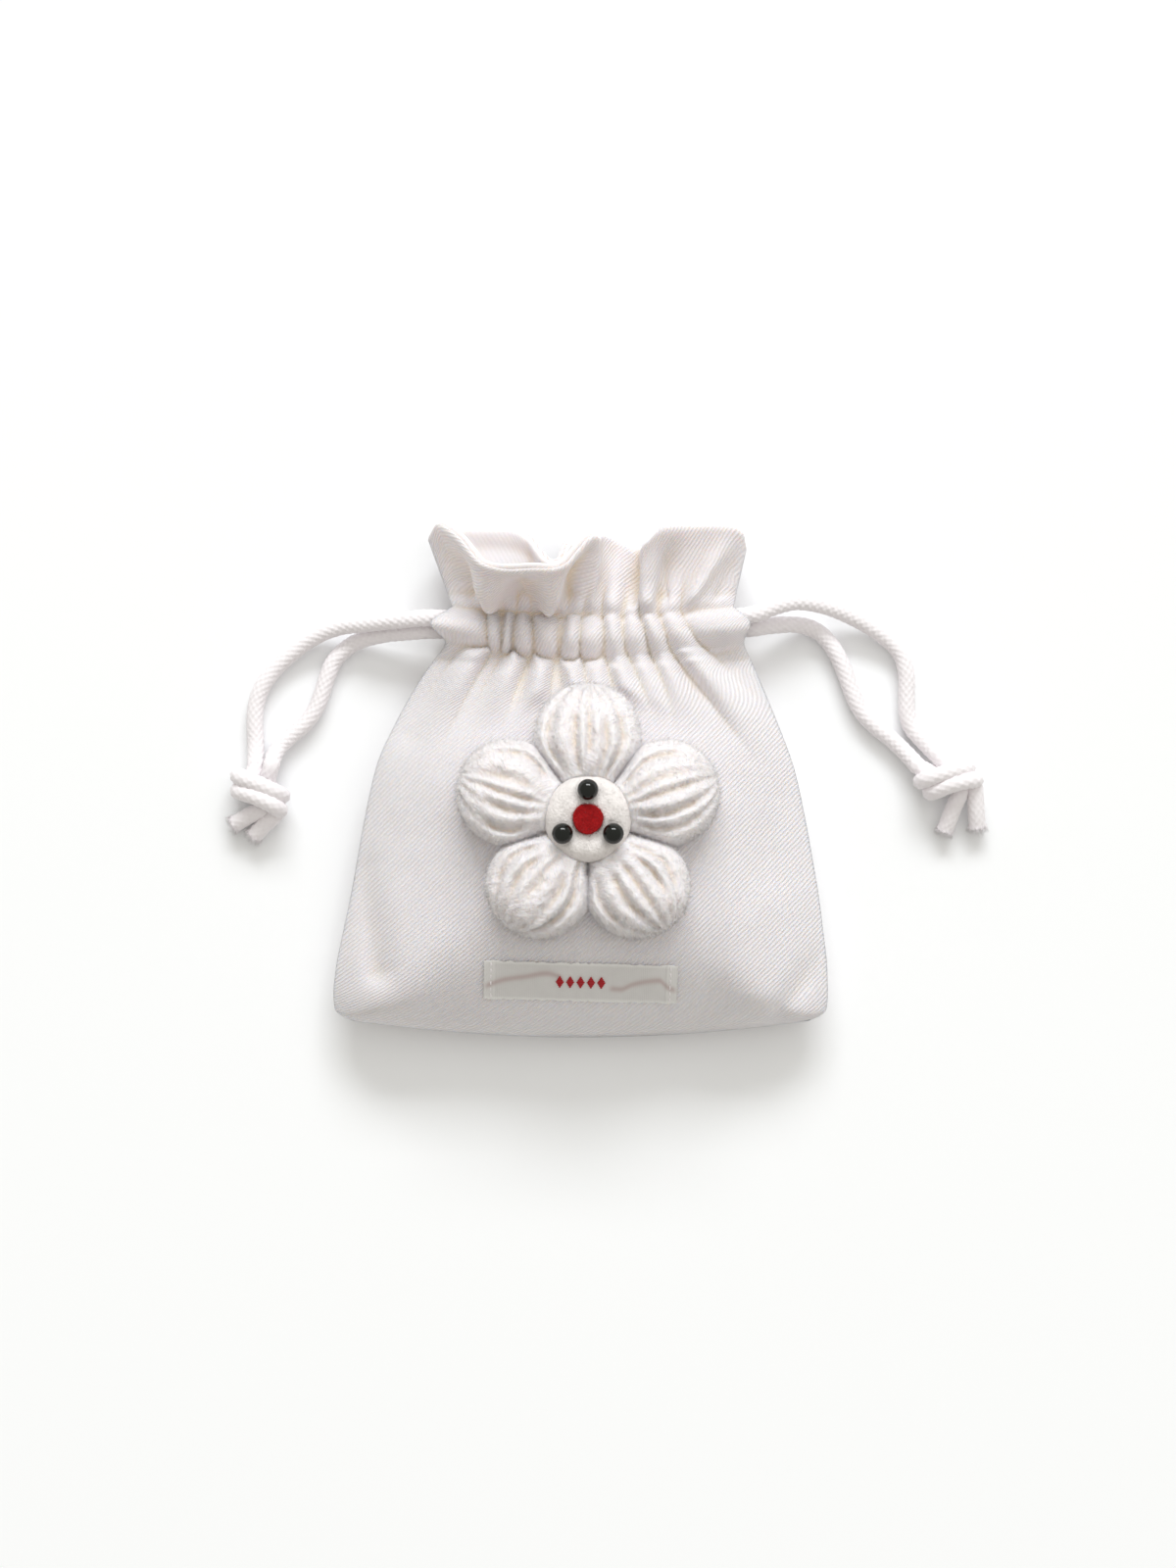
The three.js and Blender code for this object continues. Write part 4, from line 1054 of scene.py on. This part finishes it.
def pleat_lines(share, seed):
    """A petal's sewn creases, uneven in place, depth and length: where each runs and how deep it is."""
    rng = np.random.default_rng(seed)
    reach, stray, bends = CREASE_LINE["reach"], CREASE_LINE["stray"], CREASE_LINE["bend"]
    edge = np.ones_like(share)
    lines = [(-edge, 0 * edge)]
    for k in range(PETAL_CREASES):
        middle = -reach + 2 * reach * k / (PETAL_CREASES - 1) + rng.uniform(-stray, stray)
        start, end = rng.uniform(*CREASE_LINE["start"]), rng.uniform(*CREASE_LINE["end"])
        bend = rng.uniform(-bends, bends)
        strength = rng.uniform(*CREASE_LINE["strength"])
        line = middle * (1 - CREASE_LINE["closing"] * share) + bend * np.sin(math.pi * share)
        appears = smooth_step(start, start + CREASE_LINE["fade_in"], share)
        ends = smooth_step(end - CREASE_LINE["fade_out"], end, share)
        lines.append((line, strength * (appears * (1 - ends))))
    return lines + [(edge, 0 * edge)]


def pleats(c, share, seed):
    """Rounded ridges between a petal's creases: 0 on their crests, -1 in the deepest crease."""
    lines = pleat_lines(share, seed)
    depth = np.zeros_like(c)
    for (left, left_deep), (right, right_deep) in zip(lines[:-1], lines[1:]):
        local = (2 * c - left - right) / (right - left)
        valley = smooth_step(VALLEY_FROM, 1, np.abs(local))
        deep = np.where(local < 0, left_deep, right_deep)
        depth = np.where(np.abs(local) <= 1, deep * valley, depth)
    return -depth


def petal_points(index):
    """A petal's grid of points, over its top and back under it, and how many columns lie on top."""
    angle = math.pi / 2 + index * 2 * math.pi / PETALS
    over, under, crowd = PETAL_GRID["over"], PETAL_GRID["under"], PETAL_GRID["crowd"]
    even = np.linspace(1, -1, over)
    lengthwise = np.linspace(0, 1, PETAL_GRID["along"]) ** PETAL_GRID["tip"]
    share = np.sin(lengthwise * math.pi / 2) * PETAL_GRID["end"]
    c_over = np.sin(even * math.pi / 2) * crowd + even * (1 - crowd)
    c_under = np.linspace(-1, 1, under + 2)[1:-1]
    c, s = np.meshgrid(np.concatenate([c_over, c_under]), share)
    above = np.arange(over + under) < over
    half, full = petal_half(s), petal_fullness(s)
    inner = np.sqrt(FLOWER["hub"] ** 2 - (c * FLOWER["base"]) ** 2)
    along = inner + (FLOWER["reach"] - inner) * s
    notched = smooth_step(*NOTCH["in"], s) * (1 - smooth_step(*NOTCH["out"], s))
    seed = SEEDS["pleats"] + index
    along += PLEAT_NOTCH * pleats(c, np.full_like(c, 0.5), seed) * notched
    x = FLOWER["x"] + along * math.cos(angle) - c * half * math.sin(angle)
    y = FLOWER["y"] + along * math.sin(angle) + c * half * math.cos(angle)
    edge = PETAL_HEIGHT * PETAL_EDGE
    rounded = np.maximum(0, 1 - c * c)
    fade = smooth_step(0, PETAL_SEAM, 1 - np.abs(c))
    pleat = PLEAT_DEPTH * full * fade * (pleats(c, s, seed) + PLEAT_LIFT)
    lumps = sum(height * soft_noise(along * LUMP_STRETCH, c * half, size, first + index)
                for height, size, first in PETAL_LUMPS)
    top = edge + (PETAL_HEIGHT - edge) * (rounded ** PETAL_ROUND["top"] * full) + pleat + lumps * fade
    bottom = edge * (1 - rounded ** PETAL_ROUND["bottom"] * full)
    z = front_height(x, y) + GAP + np.where(above, top, bottom)
    return np.stack([x, y, z], axis=-1), over


def petal(index, material, nap_material):
    """A stuffed, pleated petal and the brushed nap on it."""
    points, c_count = petal_points(index)
    shown = (slice(2, -1), slice(1, c_count - 1))
    normals = upward_normals(points)
    uv = np.stack([run_lengths(points, 1), run_lengths(points, 0)], axis=-1)
    # How deep each point lies in a hollow: the share of painted warm shade on the petal and its nap
    deep = hollows(points, normals, **PETAL_SHADE_HOLLOWS)
    spikes, spike_faces, spike_normals, stand = brushed(
        points, normals, shown, SEEDS["fibres"] + index, PETAL_FIBRES)
    nap_uv = uv[shown].reshape(-1, 2)[stand]
    nap_shade = deep[shown].ravel()[stand]
    body = make_mesh(f"fleece_petal_{index + 1}", points, tube_faces(*points.shape[:2]), material, uv, deep)
    nap = make_mesh(f"fleece_nap_{index + 1}", spikes, spike_faces.tolist(), nap_material, nap_uv, nap_shade,
                    spike_normals)
    nap.visible_shadow = False
    return body, nap


def flower_seat():
    """The level that the felt button stands on."""
    spread = np.linspace(-1, 1, 9) * CENTRE["radius"]
    x, y = np.meshgrid(FLOWER["x"] + spread, FLOWER["y"] + spread)
    return float(front_height(x, y).max()) + GAP


def bead_place(index, seat):
    angle = math.pi / 2 + index * 2 * math.pi / BEADS
    x = FLOWER["x"] + BEAD_RING * math.cos(angle)
    y = FLOWER["y"] + BEAD_RING * math.sin(angle)
    return np.array([x, y, seat + CENTRE["height"] + BEAD_RADIUS - BEAD_SINK])


def turned(profile, segments, middle, shape=None):
    """A solid turned from a profile of radius and height, with an optional change of its heights."""
    turn = np.linspace(0, 2 * math.pi, segments, endpoint=False)
    radius, angle = np.meshgrid(np.array([p[0] for p in profile]), turn, indexing="ij")
    level = np.repeat(np.array([p[1] for p in profile])[:, None], segments, axis=1)
    points = np.stack([radius * np.cos(angle), radius * np.sin(angle), level], axis=-1) + np.array(middle)
    if shape is not None:
        points = shape(points)
    return points, tube_faces(len(profile), segments)


def with_fibres(name, points, faces, spikes, spike_faces, spike_normals, material):
    """One mesh of a turned solid and the fibres on it."""
    count = points.shape[0] * points.shape[1]
    flat = np.concatenate([points.reshape(-1, 3), spikes])
    set_normals = np.concatenate([np.zeros((count, 3)), spike_normals])
    return make_mesh(name, flat, faces + (spike_faces + count).tolist(), material, normals=set_normals)


def felt_button(seat, material):
    """The padded felt middle, with a dimple under each bead."""
    radius, height, rounding = CENTRE["radius"], CENTRE["height"], CENTRE["rounding"]
    flat = radius - rounding
    swing = np.linspace(0, math.pi / 2, BUTTON["bend_rows"])
    wall = [(radius * BUTTON["foot"], 0.0), (radius, BUTTON["foot_height"]), (radius, height - rounding)]
    bend = [(flat + rounding * math.cos(a), height - rounding + rounding * math.sin(a)) for a in swing]
    cap = [(flat * (1 - s), height) for s in np.linspace(0, BUTTON["cap_reach"], BUTTON["cap_rows"])[1:]]

    def sunk(points):
        x, y = points[..., 0] - FLOWER["x"], points[..., 1] - FLOWER["y"]
        on_top = smooth_step(height - BUTTON["top"], height, points[..., 2] - seat)
        dent = np.zeros_like(x)
        for index in range(BEADS):
            bead_x, bead_y, _ = bead_place(index, seat)
            away = np.hypot(points[..., 0] - bead_x, points[..., 1] - bead_y)
            dent += BUTTON["dent"] * bell(away, BUTTON["dent_width"])
        puff = BUTTON["puff"] * (1 - (x**2 + y**2) / radius**2)
        lumps = soft_noise(x + NOISE_SHIFT, y + NOISE_SHIFT, BUTTON["lump_size"], SEEDS["button"])
        points = points.copy()
        points[..., 2] += (puff + BUTTON["lumps"] * lumps - dent) * on_top
        return points

    points, faces = turned(wall + bend[1:] + cap, BUTTON["segments"], (FLOWER["x"], FLOWER["y"], seat), sunk)
    spikes, spike_faces, spike_normals, _ = brushed(
        points, upward_normals(points), slice(2, -1), SEEDS["button_fibres"], BUTTON_FIBRES)
    return with_fibres("felt_button", points, faces, spikes, spike_faces, spike_normals, material)


def felt_dot(seat, material):
    """The small red felt disc, cut by hand, with a soft edge."""
    radius, thick, edge = RED_DOT["radius"], RED_DOT["thick"], RED_DOT["edge"]
    level = seat + CENTRE["height"] + GAP
    rim = [(radius * RED_DOT["foot"], 0.0)]
    rim += [(radius, thick * share) for share in RED_DOT["wall"]]
    rim.append((radius * edge, thick))
    inward = np.linspace(0, RED_DOT["cap_reach"], RED_DOT["cap_rows"])[1:]
    cap = [(radius * edge * (1 - s), thick) for s in inward]

    def cut(points):
        x, y = points[..., 0] - FLOWER["x"], points[..., 1] - FLOWER["y"]
        swing = np.arctan2(y, x)
        wobble = sum((height * np.sin(number * swing + begin) for height, number, begin in DOT_WAVES), 1)
        lumps = soft_noise(x + NOISE_SHIFT, y + NOISE_SHIFT, RED_DOT["lump_size"], SEEDS["dot"])
        points = points.copy()
        points[..., 0] = FLOWER["x"] + x * wobble
        points[..., 1] = FLOWER["y"] + y * wobble
        points[..., 2] += RED_DOT["lumps"] * lumps
        return points

    points, faces = turned(rim + cap, RED_DOT["segments"], (FLOWER["x"], FLOWER["y"], level), cut)
    spikes, spike_faces, spike_normals, _ = brushed(
        points, upward_normals(points), slice(None), SEEDS["dot_fibres"], DOT_FIBRES)
    return with_fibres("felt_dot", points, faces, spikes, spike_faces, spike_normals, material)


def bead(index, seat, material):
    """A polished bead with a shallow flat round its hole."""
    swing = np.linspace(-BEAD_GRID["reach"], BEAD_GRID["reach"], BEAD_GRID["rows"]) * math.pi
    profile = [(BEAD_RADIUS * math.cos(a), BEAD_RADIUS * math.sin(a)) for a in swing]
    points, faces = turned(profile, BEAD_GRID["segments"], bead_place(index, seat))
    return make_mesh(f"polished_bead_{index + 1}", points, faces, material)


# The label
def label_frame(along, up):
    x = LABEL["x"] + along * math.cos(LABEL_TILT) - up * math.sin(LABEL_TILT)
    y = LABEL["y"] + along * math.sin(LABEL_TILT) + up * math.cos(LABEL_TILT)
    return x, y


def loose_threads(along, up):
    """The share of the loose threads' colour that shows through the ribbon."""
    share = np.zeros_like(along)
    for line in LOOSE_THREADS:
        places, levels = np.array(line).T
        begun = smooth_step(-LOOSE_THREAD_END, LOOSE_THREAD_END, along - places[0])
        going = smooth_step(-LOOSE_THREAD_END, LOOSE_THREAD_END, places[-1] - along)
        share += bell(up - smooth_column(places, levels, along), LOOSE_THREAD_WIDTH) * (begun * going)
    return np.minimum(share, 1)


def label_level(x, y, along, up):
    """Level of the ribbon's top: held down round its edge, a little wavy between, double at its ends."""
    from_end = LABEL["width"] / 2 - np.abs(along)
    from_side = LABEL["height"] / 2 - np.abs(up)
    held = LABEL_WAVE["held"]
    freed = held + (1 - held) * smooth_step(0, LABEL_WAVE["side_run"], from_side)
    loose = smooth_step(0, LABEL_WAVE["end_run"], from_end) * freed
    waves = soft_noise(along + LABEL_SHIFT, up + LABEL_SHIFT, LABEL_WAVE["size"], SEEDS["label"])
    wave = (LABEL_WAVE["height"] * waves + LABEL_WAVE["height"]) * loose
    single = smooth_step(LABEL["fold"] - LABEL_STEP["half"], LABEL["fold"] + LABEL_STEP["half"], from_end)
    return front_height(x, y) + LABEL["gap"] + LABEL["thick"] + wave + LABEL_STEP["height"] * (1 - single)


def ribbon_label(material):
    """The ribbon, a little wavy, with its ends turned under and sewn down."""
    columns, rows = LABEL_GRID
    along, up = np.meshgrid(np.linspace(-0.5, 0.5, columns) * LABEL["width"],
                            np.linspace(-0.5, 0.5, rows) * LABEL["height"])
    at_edge = (np.abs(up) > LABEL_RAGGED["from"] * LABEL["height"]) * np.sign(up)
    frayed = soft_noise(along + LABEL_SHIFT, up * 0, LABEL_RAGGED["size"], SEEDS["ragged"])
    x, y = label_frame(along, up + LABEL_RAGGED["depth"] * frayed * at_edge)
    top = np.stack([x, y, label_level(x, y, along, up)], axis=-1)
    low = top - np.array([0, 0, LABEL["thick"]])
    points = np.concatenate([top.reshape(-1, 3), low.reshape(-1, 3)])
    count = rows * columns
    faces = grid_faces(rows, columns)
    faces += [face[::-1] for face in grid_faces(rows, columns, count)]
    index = np.arange(count).reshape(rows, columns)
    loop = np.concatenate([index[0, :-1], index[:-1, -1], index[-1, :0:-1], index[:0:-1, 0]])
    after = np.roll(loop, -1)
    faces += np.stack([loop, loop + count, after + count, after], axis=-1).tolist()
    uv = np.stack([along, up], axis=-1).reshape(-1, 2)
    threads = loose_threads(along, up).ravel()
    return make_mesh("ribbon_label", points, faces, material, np.concatenate([uv, uv]), np.tile(threads, 2))


def stitch(start, end, radius, arch):
    """One stitch, a short bowed thread from start to end, as points and faces."""
    rings, sides = STITCH_GRID
    start, end = np.array(start), np.array(end)
    way = (end - start) / np.linalg.norm(end - start)
    side = np.cross(way, UP)
    points = []
    for share in np.linspace(0, 1, rings):
        swell = radius * math.sqrt(max(STITCH_END, 1 - (2 * share - 1) ** 4))
        middle = start + (end - start) * share + np.array([0, 0, arch * math.sin(math.pi * share)])
        for turn in np.linspace(0, 2 * math.pi, sides, endpoint=False):
            points.append(middle + swell * (math.cos(turn) * side + math.sin(turn) * UP))
    return np.array(points), tube_faces(rings, sides)


def stitches(name, lines, radius, arch, material):
    """Many stitches in one piece; each line is two places along and up the label."""
    pieces = []
    for line in lines:
        ends = []
        for along, up in line:
            along, up = np.array([along]), np.array([up])
            x, y = label_frame(along, up)
            level = label_level(x, y, along, up) + radius / 3
            ends.append((float(x[0]), float(y[0]), float(level[0])))
        pieces.append(stitch(*ends, radius, arch))
    return make_mesh(name, *joined(pieces), material)


def lozenge_lines():
    """A row of small stitched lozenges along the middle of the label."""
    lines = []
    for middle in np.linspace(-LOZENGE["reach"], LOZENGE["reach"], LOZENGE["count"]):
        for step in range(-LOZENGE["rows"], LOZENGE["rows"] + 1):
            half = LOZENGE["half"] * (1 - abs(step) / (LOZENGE["rows"] + 1))
            up = step * LOZENGE["step"]
            lines.append(((middle - half, up), (middle + half, up)))
    return lines


def end_stitch_lines():
    """The rows of running stitch that hold the label's two ends."""
    lines = []
    for along in (-END_STITCH["along"], END_STITCH["along"]):
        for up in np.linspace(-END_STITCH["reach"], END_STITCH["reach"], END_STITCH["count"]):
            lines.append(((along, up - END_STITCH["half"]), (along, up + END_STITCH["half"])))
    return lines


# Cords
def path_run(path):
    """Length run along a path at each of its points."""
    return np.concatenate([[0], np.cumsum(np.linalg.norm(np.diff(path, axis=0), axis=1))])


def curve_points(points, step):
    """Points at an even step along a smooth curve through the given ones."""
    points = np.array(points, dtype=float)
    padded = np.concatenate([[2 * points[0] - points[1]], points, [2 * points[-1] - points[-2]]])
    fine = []
    for k in range(1, len(padded) - 2):
        before, start, end, after = padded[k - 1: k + 3]
        u = np.linspace(0, 1, CURVE_STEPS, endpoint=False)[:, None]
        cubic = (-before + 3 * start - 3 * end + after) * u**3
        bend = cubic + (2 * before - 5 * start + 4 * end - after) * u**2
        fine.append(0.5 * (2 * start + (end - before) * u + bend))
    fine = np.concatenate([*fine, points[-1:]])
    run = path_run(fine)
    even = np.linspace(0, run[-1], max(8, int(run[-1] / step)))
    return np.stack([np.interp(even, run, fine[:, k]) for k in range(3)], axis=-1)


def tube_frames(path):
    """Two side directions at each point of a path, carried along it without twist."""
    way = np.gradient(path, axis=0)
    way /= np.linalg.norm(way, axis=1, keepdims=True)
    side = np.cross(way[0], UP)
    sides = []
    for direction in way:
        side = side - direction * np.dot(side, direction)
        side = side / np.linalg.norm(side)
        sides.append(side)
    sides = np.array(sides)
    return sides, np.cross(way, sides)


def braid(path, around=44):
    """A tube of interlaced yarns along a path, as points and faces."""
    first, second = tube_frames(path)
    turn = np.linspace(0, 2 * math.pi, around, endpoint=False)
    angle, length = np.meshgrid(turn, path_run(path))
    a = BRAID_YARNS * angle / (2 * math.pi) + length / BRAID_PITCH
    b = BRAID_YARNS * angle / (2 * math.pi) - length / BRAID_PITCH
    over = (np.floor(a) + np.floor(b)) % 2 == 0
    fa, fb = a - np.floor(a) - 0.5, b - np.floor(b) - 0.5
    across, lengthwise = np.where(over, fa, fb), np.where(over, fb, fa)
    pillow = np.cos(math.pi * across * YARN["wide"]) ** YARN["round"]
    pillow *= np.cos(math.pi * lengthwise * YARN["long"])
    lumps = soft_noise(length + CORD_SHIFT, angle * YARN["arc"] + CORD_SHIFT, YARN["lump"], SEEDS["cord"])
    soft = YARN["soft"] * lumps
    radius = CORD_DIAMETER / 2 * (YARN["core"] + YARN["relief"] * pillow + soft)
    outward = np.cos(angle)[..., None] * first[:, None] + np.sin(angle)[..., None] * second[:, None]
    points = path[:, None] + radius[..., None] * outward
    return points.reshape(-1, 3), tube_faces(len(path), around)


def strand(name, material):
    path = curve_points(STRANDS[name], STRAND_STEP)
    points, faces = braid(path)
    return make_mesh(f"braid_{name}", points, faces, material), path


def knot(name, material):
    """An overhand knot tied in a pair of strands, with two cut and slightly frayed tails."""
    middle, turn = np.array(KNOTS[name]["middle"]), KNOTS[name]["turn"]
    pull = np.array([math.sin(turn), -math.cos(turn), 0.0])
    side = np.cross(UP, pull)
    axes = np.stack([pull, side, UP])
    routes = [np.array(STRANDS[f"{name}_{part}"][-2:]) for part in ("front", "back")]
    routes.sort(key=lambda route: np.dot(route[1] - middle, side))
    tails = sorted((np.array(t) for t in KNOTS[name]["tails"]), key=lambda t: np.dot(t - middle, side))
    pieces = []
    for rank, sign in ((0, -1), (1, 1)):
        lead, entry = routes[rank]
        line = [lead * ENTRY_SHARES[0] + entry * ENTRY_SHARES[1], entry]
        for place, beside in KNOT_LINE:
            beside = np.array(beside) / np.linalg.norm(beside)
            line.append(middle + (np.array(place) + sign * PAIR_OFFSET * beside) @ axes)
        tail = tails[1 - rank]
        line.append(line[-1] * TAIL_SHARES[0] + tail * TAIL_SHARES[1] + TAIL_ARCH * UP)
        line.append(tail)
        path = curve_points(line, KNOT_STEP)
        points, faces = braid(path, KNOT_AROUND)
        cut = points[-KNOT_AROUND * FRAYED_RINGS:]
        way = np.repeat((path[-1] - path[-6])[None], len(cut), axis=0)
        way /= np.linalg.norm(way, axis=1, keepdims=True)
        even = np.ones(len(cut))
        spikes, spike_faces, _, _ = fibres(cut, way, even, seed=SEEDS["tail"] + rank, **TAIL_FIBRES)
        spikes[:, 2] = np.maximum(spikes[:, 2], 0)
        pieces += [(points, faces), (spikes, spike_faces.tolist())]
    return make_mesh(f"overhand_{name}", *joined(pieces), material)


# Stage
def aim(obj, target):
    x, y, z = np.array(target) - np.array(obj.location)
    obj.rotation_euler = (math.atan2(math.hypot(x, y), -z), 0, math.atan2(y, x) - math.pi / 2)


def window_light(name, place, size, energy):
    """A wide, low window, far enough away to light the floor evenly."""
    light = bpy.data.lights.new(name, "AREA")
    light.shape = "RECTANGLE"
    light.size, light.size_y = size
    light.energy = energy
    light.color = WINDOW_COLOUR
    obj = bpy.data.objects.new(name, light)
    bpy.context.scene.collection.objects.link(obj)
    obj.location = place
    aim(obj, LIT_POINT)


def studio():
    """Pale floor, soft daylight, a fill from the right and a wide window at the top of the picture."""
    scene = bpy.context.scene
    scene.view_settings.view_transform = "Standard"
    signs = ((-1, -1), (1, -1), (1, 1), (-1, 1))
    corners = [(x * FLOOR_REACH, y * FLOOR_REACH, FLOOR_LEVEL) for x, y in signs]
    floor = make_mesh("floor", corners, [[0, 1, 2, 3]], floor_material())
    world = bpy.data.worlds.new("daylight")
    world.use_nodes = True
    sky = world.node_tree.nodes["Background"]
    sky.inputs["Color"].default_value = SKY_COLOUR
    sky.inputs["Strength"].default_value = SKY_STRENGTH
    scene.world = world
    sun = bpy.data.lights.new("fill", "SUN")
    sun.energy = FILL["energy"]
    sun.angle = FILL["angle"]
    fill = bpy.data.objects.new("fill", sun)
    scene.collection.objects.link(fill)
    fill.location = FILL["place"]
    fill.visible_glossy = False
    aim(fill, LIT_POINT)
    window_light("window", **WINDOW)


def photo_camera():
    camera = bpy.data.cameras.new("camera")
    camera.sensor_width = SENSOR
    camera.lens = SENSOR * (CAMERA_HEIGHT - SEAM_LEVEL) / FRAME_HEIGHT
    obj = bpy.data.objects.new("camera", camera)
    bpy.context.scene.collection.objects.link(obj)
    obj.location = (*CAMERA_MIDDLE, CAMERA_HEIGHT)
    bpy.context.scene.camera = obj


# Putting it together
photo_camera()
studio()

cotton = cord_material()
for side in ("left", "right"):
    tied = dress(knot(side, cotton), f"knot_{side}")
    for part in ("front", "back"):
        name = f"{side}_{part}"
        piece, path = strand(name, cotton)
        dress(piece, f"cord_{name}")

twill = twill_material()
front = dress(panel("front_cloth", 1, FRONT_GRID, twill), "front_panel")
back = dress(panel("back_cloth", -1, BACK_GRID, twill), "back_panel")

fleece = fleece_material("brushed_fleece", 0.6)
fleece_nap = fleece_material("fleece_nap", 0.0)
for number in range(PETALS):
    lobe, nap = petal(number, fleece, fleece_nap)
    dress(lobe, f"petal_{number + 1}")
    dress(nap, None)
seat_level = flower_seat()
felt = felt_material("cream_felt")
button = dress(felt_button(seat_level, felt), "flower_centre")
red_felt = felt_material("red_felt")
dress(felt_dot(seat_level, red_felt), "red_dot")
polished = bead_material()
for number in range(BEADS):
    dress(bead(number, seat_level, polished), f"bead_{number + 1}")

ribbon = dress(ribbon_label(ribbon_material()), "label")
red_row = stitches("label_lozenges", lozenge_lines(), radius=0.00032, arch=0.0002, material=thread_material())
lozenges = dress(red_row, None)
end_rows = stitches("label_stitches", end_stitch_lines(), radius=0.00022, arch=0.0001, material=cotton)
end_stitches = dress(end_rows, None)
